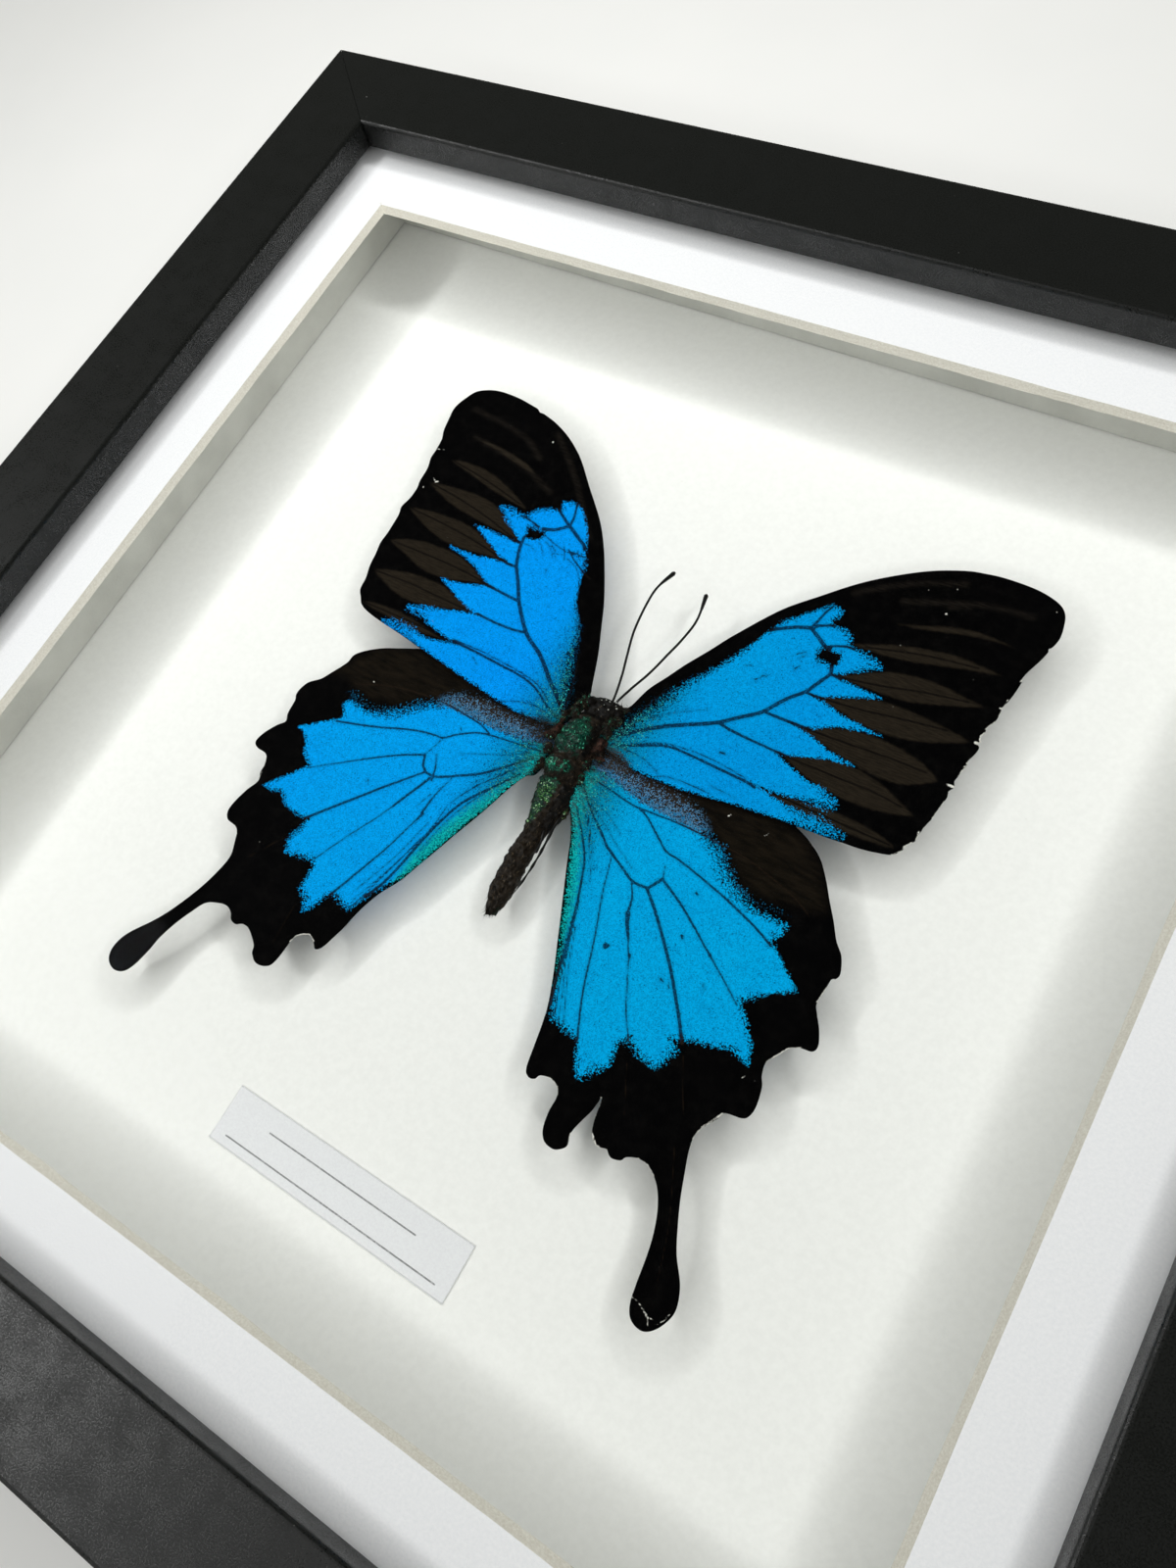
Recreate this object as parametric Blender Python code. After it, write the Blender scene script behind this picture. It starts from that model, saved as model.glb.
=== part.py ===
"""Framed butterfly specimen: a black box frame lying on its back, face up, with a spread swallowtail.

The origin is on the surface the frame lies on, under its middle. +Z goes up through the glass, and +Y goes
from the butterfly's tail towards its head. Blender units are metres; the sizes below are millimetres.
"""

import math

import bmesh
import bpy
from mathutils import Matrix, Vector

MM = 0.001

# The frame: four mitred rails of one L-shaped moulding.
FRAME_SIDE = 250.0
FRAME_DEPTH = 40.0
RAIL_FACE = 18.7
RAIL_WALL = 12.5
LIP_THICKNESS = 6.1
FACE_EDGE_RADIUS = 0.8
MITRE_GAP = 0.06

# What lies under the lip, from the front to the back.
GAP = 0.3
GLASS_THICKNESS = 2.0
MAT_GAP = 0.2
MAT_THICKNESS = 1.2
MAT_BEVEL = 1.1
WINDOW_SIDE = 189.2
WINDOW_SHIFT_X = -1.55
WINDOW_SHIFT_Y = -0.25
CAVITY_DEPTH = 21.0
BACKING_THICKNESS = 2.0
BACK_PANEL_THICKNESS = 3.0
SHEET_CLEARANCE = 0.4

# Foam spacer strips between the mat and the backing, cut by hand; the top one sits a little askew.
SPACER_THICKNESS = 3.0
SPACER_INNER = 107.1
TOP_SPACER_INNER = 107.0
TOP_SPACER_TURN = math.radians(0.95)

# Sprung steel points that hold the back panel in, two to a rail.
POINT_LENGTH = 13.0
POINT_WIDTH = 6.0
POINT_THICKNESS = 0.6
POINT_IN_RAIL = 5.0
POINT_FROM_MIDDLE = 62.0

# The paper label on the backing.
LABEL_LENGTH = 48.0
LABEL_WIDTH = 9.6
LABEL_THICKNESS = 0.2
LABEL_CENTRE = (1.7, -75.1)
LABEL_TURN = math.radians(-0.8)

# The butterfly, in plan.
FOREWING_HEIGHT = 7.6
HINDWING_HEIGHT = 6.8
WING_THICKNESS = 0.4
ANTENNA_RADIUS = 0.22
CLUB_RADIUS = 0.42
ANTENNA_HEIGHT = 7.0

FOREWING = (
    (5.4, 10.0), (5.4, 16.7), (8.25, 25.0), (12.5, 33.0), (20.0, 45.0), (25.0, 50.2), (30.0, 55.1),
    (35.0, 59.0), (40.0, 62.2), (45.0, 64.4), (51.0, 65.5), (58.0, 65.1), (61.8, 63.4), (63.2, 58.0),
    (61.4, 50.5), (60.1, 42.0), (59.3, 34.0), (58.5, 25.0), (57.3, 17.0), (56.0, 13.5), (53.5, 11.4),
    (47.5, 10.5), (35.0, 9.25), (25.0, 7.85), (12.0, 6.9), (6.5, 8.2),
)
HINDWING = (
    (5.2, 1.5), (5.4, 5.5), (24.0, 11.5), (40.8, 9.6), (45.6, 6.6), (49.7, 1.1), (53.3, -4.2), (56.0, -8.4),
    (55.1, -10.4), (55.0, -14.4), (57.6, -19.4), (56.8, -21.4), (54.2, -22.5), (52.2, -25.8), (53.7, -31.5),
    (52.8, -34.8), (50.2, -35.5), (47.9, -40.6), (49.2, -46.1), (51.7, -52.8), (55.6, -59.4), (56.4, -63.0),
    (54.9, -66.6), (51.7, -66.7), (50.3, -62.2), (49.2, -55.6), (46.7, -49.7), (42.2, -47.4), (38.6, -49.3),
    (34.4, -47.5), (33.4, -43.4), (31.8, -49.0), (30.0, -52.5), (27.6, -50.8), (27.1, -45.8), (24.7, -43.8),
    (21.5, -45.2), (20.0, -40.6), (18.6, -33.9), (15.0, -25.0), (9.7, -12.8), (5.6, -3.5),
)
# The left wings are the right ones mirrored, then set as the pinner left them.
LEFT_FOREWING = Matrix(((0.995, 0.0215, 1.6), (-0.038, 1.016, 0.4), (0.0, 0.0, 1.0)))
LEFT_HINDWING = Matrix(((0.942, 0.012, -0.1), (-0.069, 1.017, -1.05), (0.0, 0.0, 1.0)))

# Rings along the body: y, middle x, half width, middle height over the backing, half height.
BODY_RINGS = (
    (17.1, 1.5, 1.0, 6.4, 0.9),
    (16.3, 1.5, 2.7, 6.3, 1.9),
    (14.8, 1.5, 3.1, 6.2, 2.3),
    (13.4, 1.2, 2.7, 6.1, 2.2),
    (11.5, 0.7, 3.2, 6.3, 3.0),
    (8.0, 0.4, 3.7, 6.5, 3.7),
    (4.0, 0.4, 3.7, 6.4, 3.8),
    (1.0, 0.6, 3.3, 6.2, 3.3),
    (-1.0, 1.0, 3.0, 6.0, 2.7),
    (-4.0, 1.4, 3.1, 5.9, 2.8),
    (-7.0, 1.4, 2.6, 5.7, 2.5),
    (-10.0, 1.4, 2.1, 5.6, 2.1),
    (-15.0, 1.4, 2.2, 5.4, 2.1),
    (-20.0, 1.5, 2.1, 5.2, 1.9),
    (-23.0, 1.6, 1.7, 5.0, 1.5),
    (-25.4, 1.9, 0.8, 4.9, 0.7),
)
BODY_SIDES = 20
PAD_SIZE = (4.0, 7.0)
PAD_CENTRE = (0.5, 5.0)

LEFT_ANTENNA = (
    (1.75, 17.5), (1.0, 21.9), (0.0, 25.6), (-1.3, 30.6), (-2.0, 36.3), (-2.05, 40.6), (-0.75, 44.9),
)
RIGHT_ANTENNA = (
    (2.6, 17.5), (3.75, 20.6), (5.25, 24.4), (6.4, 28.8), (7.3, 33.1), (7.6, 37.5), (6.6, 43.0),
)

# Heights that follow from the stack.
LIP_UNDER = FRAME_DEPTH - LIP_THICKNESS
GLASS_TOP = LIP_UNDER - GAP
MAT_TOP = GLASS_TOP - GLASS_THICKNESS - MAT_GAP
BACKING_TOP = MAT_TOP - CAVITY_DEPTH
SPACER_TOP = MAT_TOP - MAT_THICKNESS - GAP
SPACER_FOOT = BACKING_TOP + GAP
PANEL_TOP = BACKING_TOP - BACKING_THICKNESS - GAP
PANEL_UNDER = PANEL_TOP - BACK_PANEL_THICKNESS
POINT_MIDDLE = PANEL_UNDER - GAP - POINT_THICKNESS / 2
HALF_SIDE = FRAME_SIDE / 2
RABBET_HALF = HALF_SIDE - RAIL_WALL
SHEET_SIDE = 2 * (RABBET_HALF - SHEET_CLEARANCE)


def clear_scene():
    for obj in list(bpy.data.objects):
        bpy.data.objects.remove(obj)


def material(name, colour, roughness, metallic=0.0):
    made = bpy.data.materials.new(name)
    made.use_nodes = True
    shader = made.node_tree.nodes["Principled BSDF"]
    shader.inputs["Base Color"].default_value = (*colour, 1.0)
    shader.inputs["Roughness"].default_value = roughness
    shader.inputs["Metallic"].default_value = metallic
    return made


def put(name, mesh, finish):
    """Makes the scene's object from a bmesh in millimetres, scaled to metres, with its faces outwards."""
    bmesh.ops.recalc_face_normals(mesh, faces=mesh.faces)
    bmesh.ops.scale(mesh, vec=(MM, MM, MM), verts=mesh.verts)
    data = bpy.data.meshes.new(name)
    mesh.to_mesh(data)
    mesh.free()
    data.materials.append(finish)
    obj = bpy.data.objects.new(name, data)
    bpy.context.scene.collection.objects.link(obj)
    return obj


def slab(name, size_x, size_y, z_low, z_high, finish, centre=(0.0, 0.0), turn=0.0):
    """A flat board, standing from z_low to z_high."""
    mesh = bmesh.new()
    bmesh.ops.create_cube(mesh, size=1.0)
    bmesh.ops.scale(mesh, vec=(size_x, size_y, z_high - z_low), verts=mesh.verts)
    bmesh.ops.rotate(mesh, matrix=Matrix.Rotation(turn, 3, "Z"), verts=mesh.verts)
    bmesh.ops.translate(mesh, vec=(*centre, (z_low + z_high) / 2), verts=mesh.verts)
    return put(name, mesh, finish)


def loft(mesh, rings):
    """Skins rings of vertices, each with as many as the last, and closes both ends."""
    for first, second in zip(rings, rings[1:]):
        for i in range(len(first)):
            j = (i + 1) % len(first)
            mesh.faces.new((first[i], first[j], second[j], second[i]))
    mesh.faces.new(rings[0])
    mesh.faces.new(rings[-1])


def rounded_corner(centre_u, centre_z, start_degrees, steps=4):
    """Points of a quarter circle of the face edge's radius, turning clockwise."""
    angles = [math.radians(start_degrees - 90.0 * i / steps) for i in range(steps + 1)]
    return [
        (centre_u + FACE_EDGE_RADIUS * math.cos(a), centre_z + FACE_EDGE_RADIUS * math.sin(a))
        for a in angles
    ]


def rail_profile():
    """The moulding's section: distance in from the outer face, and height."""
    high = FRAME_DEPTH - FACE_EDGE_RADIUS
    return [
        (0.0, 0.0),
        *rounded_corner(FACE_EDGE_RADIUS, high, 180.0),
        *rounded_corner(RAIL_FACE - FACE_EDGE_RADIUS, high, 90.0),
        (RAIL_FACE, LIP_UNDER),
        (RAIL_WALL, LIP_UNDER),
        (RAIL_WALL, 0.0),
    ]


def point_cutter(name, place, turn):
    """The slot that one steel point is pressed into, a little larger than the point."""
    mesh = bmesh.new()
    bmesh.ops.create_cube(mesh, size=1.0)
    size = (POINT_WIDTH + 2 * GAP, 2 * (POINT_IN_RAIL + GAP), POINT_THICKNESS + 2 * GAP)
    bmesh.ops.scale(mesh, vec=size, verts=mesh.verts)
    bmesh.ops.translate(mesh, vec=place, verts=mesh.verts)
    bmesh.ops.rotate(mesh, matrix=Matrix.Rotation(turn, 3, "Z"), verts=mesh.verts)
    cutter = put(name, mesh, bpy.data.materials["cutter"])
    cutter.hide_render = True
    cutter.display_type = "WIRE"
    return cutter


def steel_point(name, along, turn, finish):
    """A sprung steel point, pressed into the rail's wall and reaching over the back panel."""
    mesh = bmesh.new()
    bmesh.ops.create_cube(mesh, size=1.0)
    bmesh.ops.scale(mesh, vec=(POINT_WIDTH, POINT_LENGTH, POINT_THICKNESS), verts=mesh.verts)
    middle = RABBET_HALF + POINT_IN_RAIL - POINT_LENGTH / 2
    bmesh.ops.translate(mesh, vec=(along, middle, POINT_MIDDLE), verts=mesh.verts)
    bmesh.ops.rotate(mesh, matrix=Matrix.Rotation(turn, 3, "Z"), verts=mesh.verts)
    return put(name, mesh, finish)


def build_rail(side, turn, finish, steel):
    """One rail, modelled as the top one and turned about the frame's middle, with its two points."""
    mesh = bmesh.new()
    ends = []
    for end in (-1, 1):
        ends.append([
            mesh.verts.new((end * (HALF_SIDE - inward - MITRE_GAP), HALF_SIDE - inward, height))
            for inward, height in rail_profile()
        ])
    loft(mesh, ends)
    bmesh.ops.rotate(mesh, matrix=Matrix.Rotation(turn, 3, "Z"), verts=mesh.verts)
    rail = put("rail_" + side, mesh, finish)
    for number, along in enumerate((-POINT_FROM_MIDDLE, POINT_FROM_MIDDLE), start=1):
        cutter = point_cutter(f"slot_{side}_{number}", (along, RABBET_HALF, POINT_MIDDLE), turn)
        slot = rail.modifiers.new("slot", "BOOLEAN")
        slot.operation = "DIFFERENCE"
        slot.object = cutter
        steel_point(f"point_{side}_{number}", along, turn, steel)


def build_frame():
    black = material("black_foil", (0.018, 0.019, 0.018), 0.38)
    steel = material("steel", (0.52, 0.52, 0.50), 0.35, 1.0)
    material("cutter", (0.8, 0.1, 0.1), 0.5)
    for quarter, side in enumerate(("top", "left", "bottom", "right")):
        build_rail(side, quarter * math.pi / 2, black, steel)


def build_mat(finish):
    """The window mat: a square ring of board whose window is cut on a slope, wider at the face."""
    mesh = bmesh.new()
    outer = SHEET_SIDE / 2
    wide = WINDOW_SIDE / 2
    narrow = wide - MAT_BEVEL
    under = MAT_TOP - MAT_THICKNESS
    corners = ((-1, -1), (1, -1), (1, 1), (-1, 1))
    section = (
        (outer, 0.0, 0.0, MAT_TOP),
        (wide, WINDOW_SHIFT_X, WINDOW_SHIFT_Y, MAT_TOP),
        (narrow, WINDOW_SHIFT_X, WINDOW_SHIFT_Y, under),
        (outer, 0.0, 0.0, under),
    )
    loops = [
        [mesh.verts.new((sx * half + dx, sy * half + dy, height)) for sx, sy in corners]
        for half, dx, dy, height in section
    ]
    for first, second in zip(loops, loops[1:] + loops[:1]):
        for i in range(4):
            j = (i + 1) % 4
            mesh.faces.new((first[i], first[j], second[j], second[i]))
    return put("window_mat", mesh, finish)


def build_spacers(finish):
    """Foam strips standing on edge: two full length at the sides, two between them."""
    long_strip = SHEET_SIDE - 2 * GAP
    short_strip = 2 * (SPACER_INNER - GAP)
    middle = SPACER_INNER + SPACER_THICKNESS / 2
    heights = (SPACER_FOOT, SPACER_TOP)
    slab("spacer_left", SPACER_THICKNESS, long_strip, *heights, finish, centre=(-middle, 0.0))
    slab("spacer_right", SPACER_THICKNESS, long_strip, *heights, finish, centre=(middle, 0.0))
    slab("spacer_bottom", short_strip, SPACER_THICKNESS, *heights, finish, centre=(0.0, -middle))
    askew = (0.0, TOP_SPACER_INNER + SPACER_THICKNESS / 2)
    slab("spacer_top", short_strip, SPACER_THICKNESS, *heights, finish, centre=askew, turn=-TOP_SPACER_TURN)


def build_sheets():
    """Glass, mat, spacers, backing board and back panel, from the front to the back."""
    glass = material("glass", (0.95, 0.97, 0.96), 0.05)
    white_board = material("white_board", (0.86, 0.86, 0.84), 0.8)
    foam = material("foam", (0.80, 0.80, 0.77), 0.85)
    brown_board = material("brown_board", (0.22, 0.14, 0.08), 0.7)
    slab("glass_pane", SHEET_SIDE, SHEET_SIDE, GLASS_TOP - GLASS_THICKNESS, GLASS_TOP, glass)
    build_mat(white_board)
    build_spacers(foam)
    slab("backing_board", SHEET_SIDE, SHEET_SIDE, BACKING_TOP - BACKING_THICKNESS, BACKING_TOP, white_board)
    slab("back_panel", SHEET_SIDE, SHEET_SIDE, PANEL_UNDER, PANEL_TOP, brown_board)


def build_label():
    paper = material("label_paper", (0.83, 0.83, 0.82), 0.7)
    low = BACKING_TOP + GAP / 2
    slab("label", LABEL_LENGTH, LABEL_WIDTH, low, low + LABEL_THICKNESS, paper, LABEL_CENTRE, LABEL_TURN)


def smooth_loop(points, steps):
    """A closed Catmull-Rom curve through the points, as a list of points."""
    found = []
    count = len(points)
    for i in range(count):
        before, start, end, after = (Vector(points[(i + k) % count]) for k in (-1, 0, 1, 2))
        for step in range(steps):
            t = step / steps
            found.append(
                0.5 * (
                    2 * start
                    + (end - before) * t
                    + (2 * before - 5 * start + 4 * end - after) * t * t
                    + (3 * start - before - 3 * end + after) * t * t * t
                )
            )
    return found


def open_curve(points, steps):
    """A Catmull-Rom curve through the points, its ends carried straight on."""
    first, last = Vector(points[0]), Vector(points[-1])
    whole = [2 * first - Vector(points[1]), *map(Vector, points), 2 * last - Vector(points[-2])]
    closed = smooth_loop(whole, steps)
    return closed[steps : steps * len(points) + 1]


def build_wing(name, outline, height, finish, placing=None):
    """A thin plate cut to the outline. A left wing is mirrored first, then placed."""
    if placing is not None:
        outline = [(placing @ Vector((-x, y, 1.0)))[:2] for x, y in outline]
    low = BACKING_TOP + height - WING_THICKNESS / 2
    edge = smooth_loop(outline, steps=2)
    mesh = bmesh.new()
    rings = [[mesh.verts.new((*p, z)) for p in edge] for z in (low, low + WING_THICKNESS)]
    loft(mesh, rings)
    return put(name, mesh, finish)


def build_body(finish):
    """Head, thorax and abdomen in one piece, as rings along the body."""
    mesh = bmesh.new()
    rings = []
    for y, middle_x, half_width, middle_z, half_height in BODY_RINGS:
        ring = []
        for i in range(BODY_SIDES):
            angle = 2 * math.pi * i / BODY_SIDES
            x = middle_x + half_width * math.cos(angle)
            z = BACKING_TOP + middle_z + half_height * math.sin(angle)
            ring.append(mesh.verts.new((x, y, z)))
        rings.append(ring)
    loft(mesh, rings)
    body = put("butterfly_body", mesh, finish)
    body.data.shade_smooth()
    body.data.set_sharp_from_angle(angle=math.radians(60))


def build_pad(finish):
    """A small foam pad under the thorax, which carries the specimen clear of the backing."""
    underside = min(middle - half for y, _, _, middle, half in BODY_RINGS if abs(y - PAD_CENTRE[1]) < 5)
    low = BACKING_TOP + GAP / 2
    high = BACKING_TOP + underside - GAP / 2
    slab("thorax_pad", *PAD_SIZE, low, high, finish, centre=PAD_CENTRE)


def build_antenna(name, route, finish):
    """A thin rod that thickens into a club at its tip."""
    data = bpy.data.curves.new(name, "CURVE")
    data.dimensions = "3D"
    data.bevel_depth = ANTENNA_RADIUS * MM
    data.bevel_resolution = 1
    data.use_fill_caps = True
    points = open_curve(route, steps=2)
    spline = data.splines.new("POLY")
    spline.points.add(len(points) - 1)
    height = (BACKING_TOP + ANTENNA_HEIGHT) * MM
    for number, (point, place) in enumerate(zip(spline.points, points)):
        share = number / (len(points) - 1)
        point.co = (place[0] * MM, place[1] * MM, height, 1.0)
        club = max(0.0, (share - 0.75) / 0.25)
        point.radius = 1.0 + (CLUB_RADIUS / ANTENNA_RADIUS - 1.0) * club
    data.materials.append(finish)
    obj = bpy.data.objects.new(name, data)
    bpy.context.scene.collection.objects.link(obj)


def build_butterfly():
    forewing = material("forewing_scales", (0.0, 0.20, 0.75), 0.45)
    hindwing = material("hindwing_scales", (0.0, 0.25, 0.70), 0.45)
    fur = material("body_fur", (0.02, 0.03, 0.02), 0.7)
    foam = bpy.data.materials["foam"]
    build_body(fur)
    build_pad(foam)
    build_wing("forewing_right", FOREWING, FOREWING_HEIGHT, forewing)
    build_wing("forewing_left", FOREWING, FOREWING_HEIGHT, forewing, LEFT_FOREWING)
    build_wing("hindwing_right", HINDWING, HINDWING_HEIGHT, hindwing)
    build_wing("hindwing_left", HINDWING, HINDWING_HEIGHT, hindwing, LEFT_HINDWING)
    build_antenna("antenna_left", LEFT_ANTENNA, fur)
    build_antenna("antenna_right", RIGHT_ANTENNA, fur)


clear_scene()
build_frame()
build_sheets()
build_label()
build_butterfly()
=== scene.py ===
"""The looks of a framed butterfly: a black box frame lying on its back, with a spread swallowtail inside.

The pieces follow in the order in which the frame is put together, from the rails to the back panel.
Blender units are metres. Sizes given here are millimetres in the frame's own axes, scaled as a mesh is made.
"""

import math

import bmesh
import bpy
import numpy as np
from mathutils import Euler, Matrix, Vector
from mathutils.geometry import delaunay_2d_cdt


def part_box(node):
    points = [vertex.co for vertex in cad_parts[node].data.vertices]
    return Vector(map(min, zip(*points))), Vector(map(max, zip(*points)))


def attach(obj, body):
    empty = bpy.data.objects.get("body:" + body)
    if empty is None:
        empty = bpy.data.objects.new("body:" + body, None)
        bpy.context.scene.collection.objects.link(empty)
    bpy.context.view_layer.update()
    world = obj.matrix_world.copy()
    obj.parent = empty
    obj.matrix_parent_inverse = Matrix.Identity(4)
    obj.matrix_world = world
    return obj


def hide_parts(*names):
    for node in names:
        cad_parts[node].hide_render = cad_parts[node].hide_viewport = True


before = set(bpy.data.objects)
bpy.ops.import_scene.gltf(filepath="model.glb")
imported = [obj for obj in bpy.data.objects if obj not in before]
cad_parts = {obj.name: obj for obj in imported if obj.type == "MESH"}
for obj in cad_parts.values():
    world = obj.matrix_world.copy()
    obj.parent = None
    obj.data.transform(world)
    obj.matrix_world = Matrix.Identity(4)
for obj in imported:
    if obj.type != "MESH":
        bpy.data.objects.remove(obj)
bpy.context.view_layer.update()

# ---------------------------------------------------------------------------------------------------------
# The four rails: one wooden moulding, wrapped in satin black foil and mitred at the corners.
# The foil has a fine eggshell grain, which catches the light as a grey bloom, and a few specks of dust.
# ---------------------------------------------------------------------------------------------------------


def tint(red, green, blue):
    """A colour as it looks in full light, from 0 to 255, as the linear colour that a shader takes."""
    return (
        *(((c / 255 + 0.055) / 1.055) ** 2.4 if c > 10 else c / 255 / 12.92 for c in (red, green, blue)), 1.0
    )


class Finish:
    """A material, with short words for the nodes of its recipe. Places are read in millimetres."""

    def __init__(self, name, **uniform):
        self.material = bpy.data.materials.new(name)
        self.material.use_nodes = True
        self.tree = self.material.node_tree
        self.shader = self.tree.nodes["Principled BSDF"]
        for socket, value in uniform.items():
            self.shader.inputs[socket.replace("_", " ")].default_value = value
        place = self.add("ShaderNodeTexCoord").outputs["Object"]
        self.place = self.add(
            "ShaderNodeMapping", Vector=place, Scale=(1000.0, 1000.0, 1000.0)
        ).outputs["Vector"]

    def add(self, kind, settings=(), **inputs):
        node = self.tree.nodes.new(kind)
        for name, value in dict(settings).items():
            setattr(node, name, value)
        for name, value in inputs.items():
            self.feed(node.inputs[name.replace("_", " ")], value)
        return node

    def feed(self, socket, value):
        if isinstance(value, bpy.types.NodeSocket):
            self.tree.links.new(value, socket)
        else:
            socket.default_value = value

    def set(self, socket, value):
        self.feed(self.shader.inputs[socket], value)

    def stretched(self, x, y, z, turn=0.0):
        return self.add(
            "ShaderNodeMapping", Vector=self.place, Scale=(x, y, z), Rotation=(0.0, 0.0, math.radians(turn))
        ).outputs["Vector"]

    def noise(self, per_mm, detail=3.0, place=None, rough=0.5):
        made = self.add(
            "ShaderNodeTexNoise", Vector=place or self.place, Scale=per_mm, Detail=detail, Roughness=rough
        )
        return made.outputs["Fac"]

    def cells(self, per_mm, place=None, give="Distance", feature="F1"):
        made = self.add(
            "ShaderNodeTexVoronoi", {"feature": feature}, Vector=place or self.place, Scale=per_mm
        )
        return made.outputs[give]

    def sum(self, kind, first, second=0.0, third=0.0):
        node = self.add("ShaderNodeMath", {"operation": kind})
        for socket, value in zip(node.inputs, (first, second, third)):
            self.feed(socket, value)
        return node.outputs["Value"]

    def times(self, first, second):
        return self.sum("MULTIPLY", first, second)

    def plus(self, first, second):
        return self.sum("ADD", first, second)

    def minus(self, first, second):
        return self.sum("SUBTRACT", first, second)

    def red_of(self, colour):
        return self.add("ShaderNodeSeparateColor", Color=colour).outputs["Red"]

    def step(self, value, low, high, start=0.0, end=1.0):
        node = self.add("ShaderNodeMapRange", {"interpolation_type": "SMOOTHSTEP"}, Value=value)
        for socket, limit in zip(("From Min", "From Max", "To Min", "To Max"), (low, high, start, end)):
            self.feed(node.inputs[socket], limit)
        return node.outputs["Result"]

    def blend(self, share, first, second, kind="MIX"):
        node = self.add("ShaderNodeMix", {"data_type": "RGBA", "blend_type": kind})
        for number, value in ((0, share), (6, first), (7, second)):
            self.feed(node.inputs[number], value)
        return node.outputs[2]

    def attribute(self, name):
        return self.add("ShaderNodeAttribute", {"attribute_name": name}).outputs["Fac"]

    def axis(self, letter):
        return self.add("ShaderNodeSeparateXYZ", Vector=self.place).outputs[letter]

    def bump(self, height, depth):
        """Raises the surface by up to depth millimetres where height is 1."""
        made = self.add("ShaderNodeBump", Height=height, Distance=depth * 0.001, Strength=1.0)
        self.set("Normal", made.outputs["Normal"])

    def specks(self, per_mm, share, radius):
        """A mask of scattered dots: a share of the cells holds one, of the given radius in millimetres."""
        near = self.add("ShaderNodeTexVoronoi", Vector=self.place, Scale=per_mm, Randomness=1.0)
        chosen = self.sum("LESS_THAN", self.red_of(near.outputs["Color"]), share)
        small = self.step(near.outputs["Distance"], radius * per_mm, radius * per_mm * 0.4)
        return self.times(chosen, small)


def dress(node, finish):
    """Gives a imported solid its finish."""
    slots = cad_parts[node].data.materials
    slots.clear()
    slots.append(finish.material)


foil = Finish("satin_black_foil", Roughness=0.42, Specular_IOR_Level=0.4)
grain = foil.noise(3.8, 3.0, rough=0.75)
long_bloom = foil.noise(0.03, 3.0)
base = foil.blend(foil.step(grain, 0.3, 0.75), tint(8, 10, 9), tint(20, 22, 20))
base = foil.blend(foil.times(long_bloom, 0.5), base, tint(21, 22, 20))
dust = foil.sum("MAXIMUM", foil.specks(0.16, 0.5, 0.14), foil.specks(0.5, 0.16, 0.07))
foil.set("Base Color", foil.blend(dust, base, tint(140, 140, 136)))
cloud = foil.noise(0.22, 6.0, rough=0.72)
speckle = foil.plus(foil.times(grain, 0.7), foil.times(cloud, 0.3))
foil.set("Roughness", foil.step(speckle, 0.36, 0.62, 0.17, 0.66))
foil.bump(grain, 0.04)
for side in ("top", "bottom", "left", "right"):
    dress("rail_" + side, foil)

# ---------------------------------------------------------------------------------------------------------
# The pane: picture glass with a coating against reflections, held under the lip of the rails.
# It is see-through, and only shows itself at a flat angle.
# ---------------------------------------------------------------------------------------------------------

pane = Finish("coated_glass")
clear = pane.add("ShaderNodeBsdfTransparent", Color=(0.995, 1.0, 0.998, 1.0)).outputs["BSDF"]
gloss = pane.add("ShaderNodeBsdfGlossy", Color=(0.9, 0.95, 1.0, 1.0), Roughness=0.02).outputs["BSDF"]
behind = pane.add("ShaderNodeNewGeometry").outputs["Backfacing"]
mirror = pane.add("ShaderNodeFresnel", IOR=1.07).outputs["Fac"]
mirror = pane.times(mirror, pane.minus(1.0, behind))
both = pane.add("ShaderNodeMixShader")
for socket, value in zip(both.inputs, (mirror, clear, gloss)):
    pane.feed(socket, value)
output = pane.tree.nodes["Material Output"]
pane.tree.links.new(both.outputs["Shader"], output.inputs["Surface"])
pane.tree.nodes.remove(pane.shader)
dress("glass_pane", pane)

# ---------------------------------------------------------------------------------------------------------
# The window mat: a sheet of white board with a cream core, which shows where the window is cut on a slope.
# The cut was made by hand, so its edge wavers a little and runs over at the corners.
# ---------------------------------------------------------------------------------------------------------
MM = 0.001
WINDOW_HALF = 94.6
WINDOW_CENTRE = (-1.55, -0.25)
BEVEL_WIDTH = 1.1


def make_piece(name, corners, faces, finishes, smooth=True):
    """A mesh object from corners in millimetres."""
    data = bpy.data.meshes.new(name)
    data.from_pydata([tuple(c) for c in np.asarray(corners, float) * MM], [], faces)
    for finish in finishes:
        data.materials.append(finish.material)
    if smooth:
        data.shade_smooth()
    piece = bpy.data.objects.new(name, data)
    bpy.context.scene.collection.objects.link(piece)
    return piece


def in_mm(node):
    """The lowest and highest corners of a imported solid, in millimetres."""
    low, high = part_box(node)
    return np.array(low) / MM, np.array(high) / MM


def slow_waves(count, size, seed, roughness=0.6):
    """A closed run of smooth random values, about size at most."""
    draws = np.random.default_rng(seed)
    turn = np.arange(count) / count * 2 * math.pi
    total = np.zeros(count)
    for step in range(2, 60):
        total += draws.normal() * np.cos(step * turn + draws.uniform(0, 7)) / step**roughness
    return size * total / np.abs(total).max()


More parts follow.
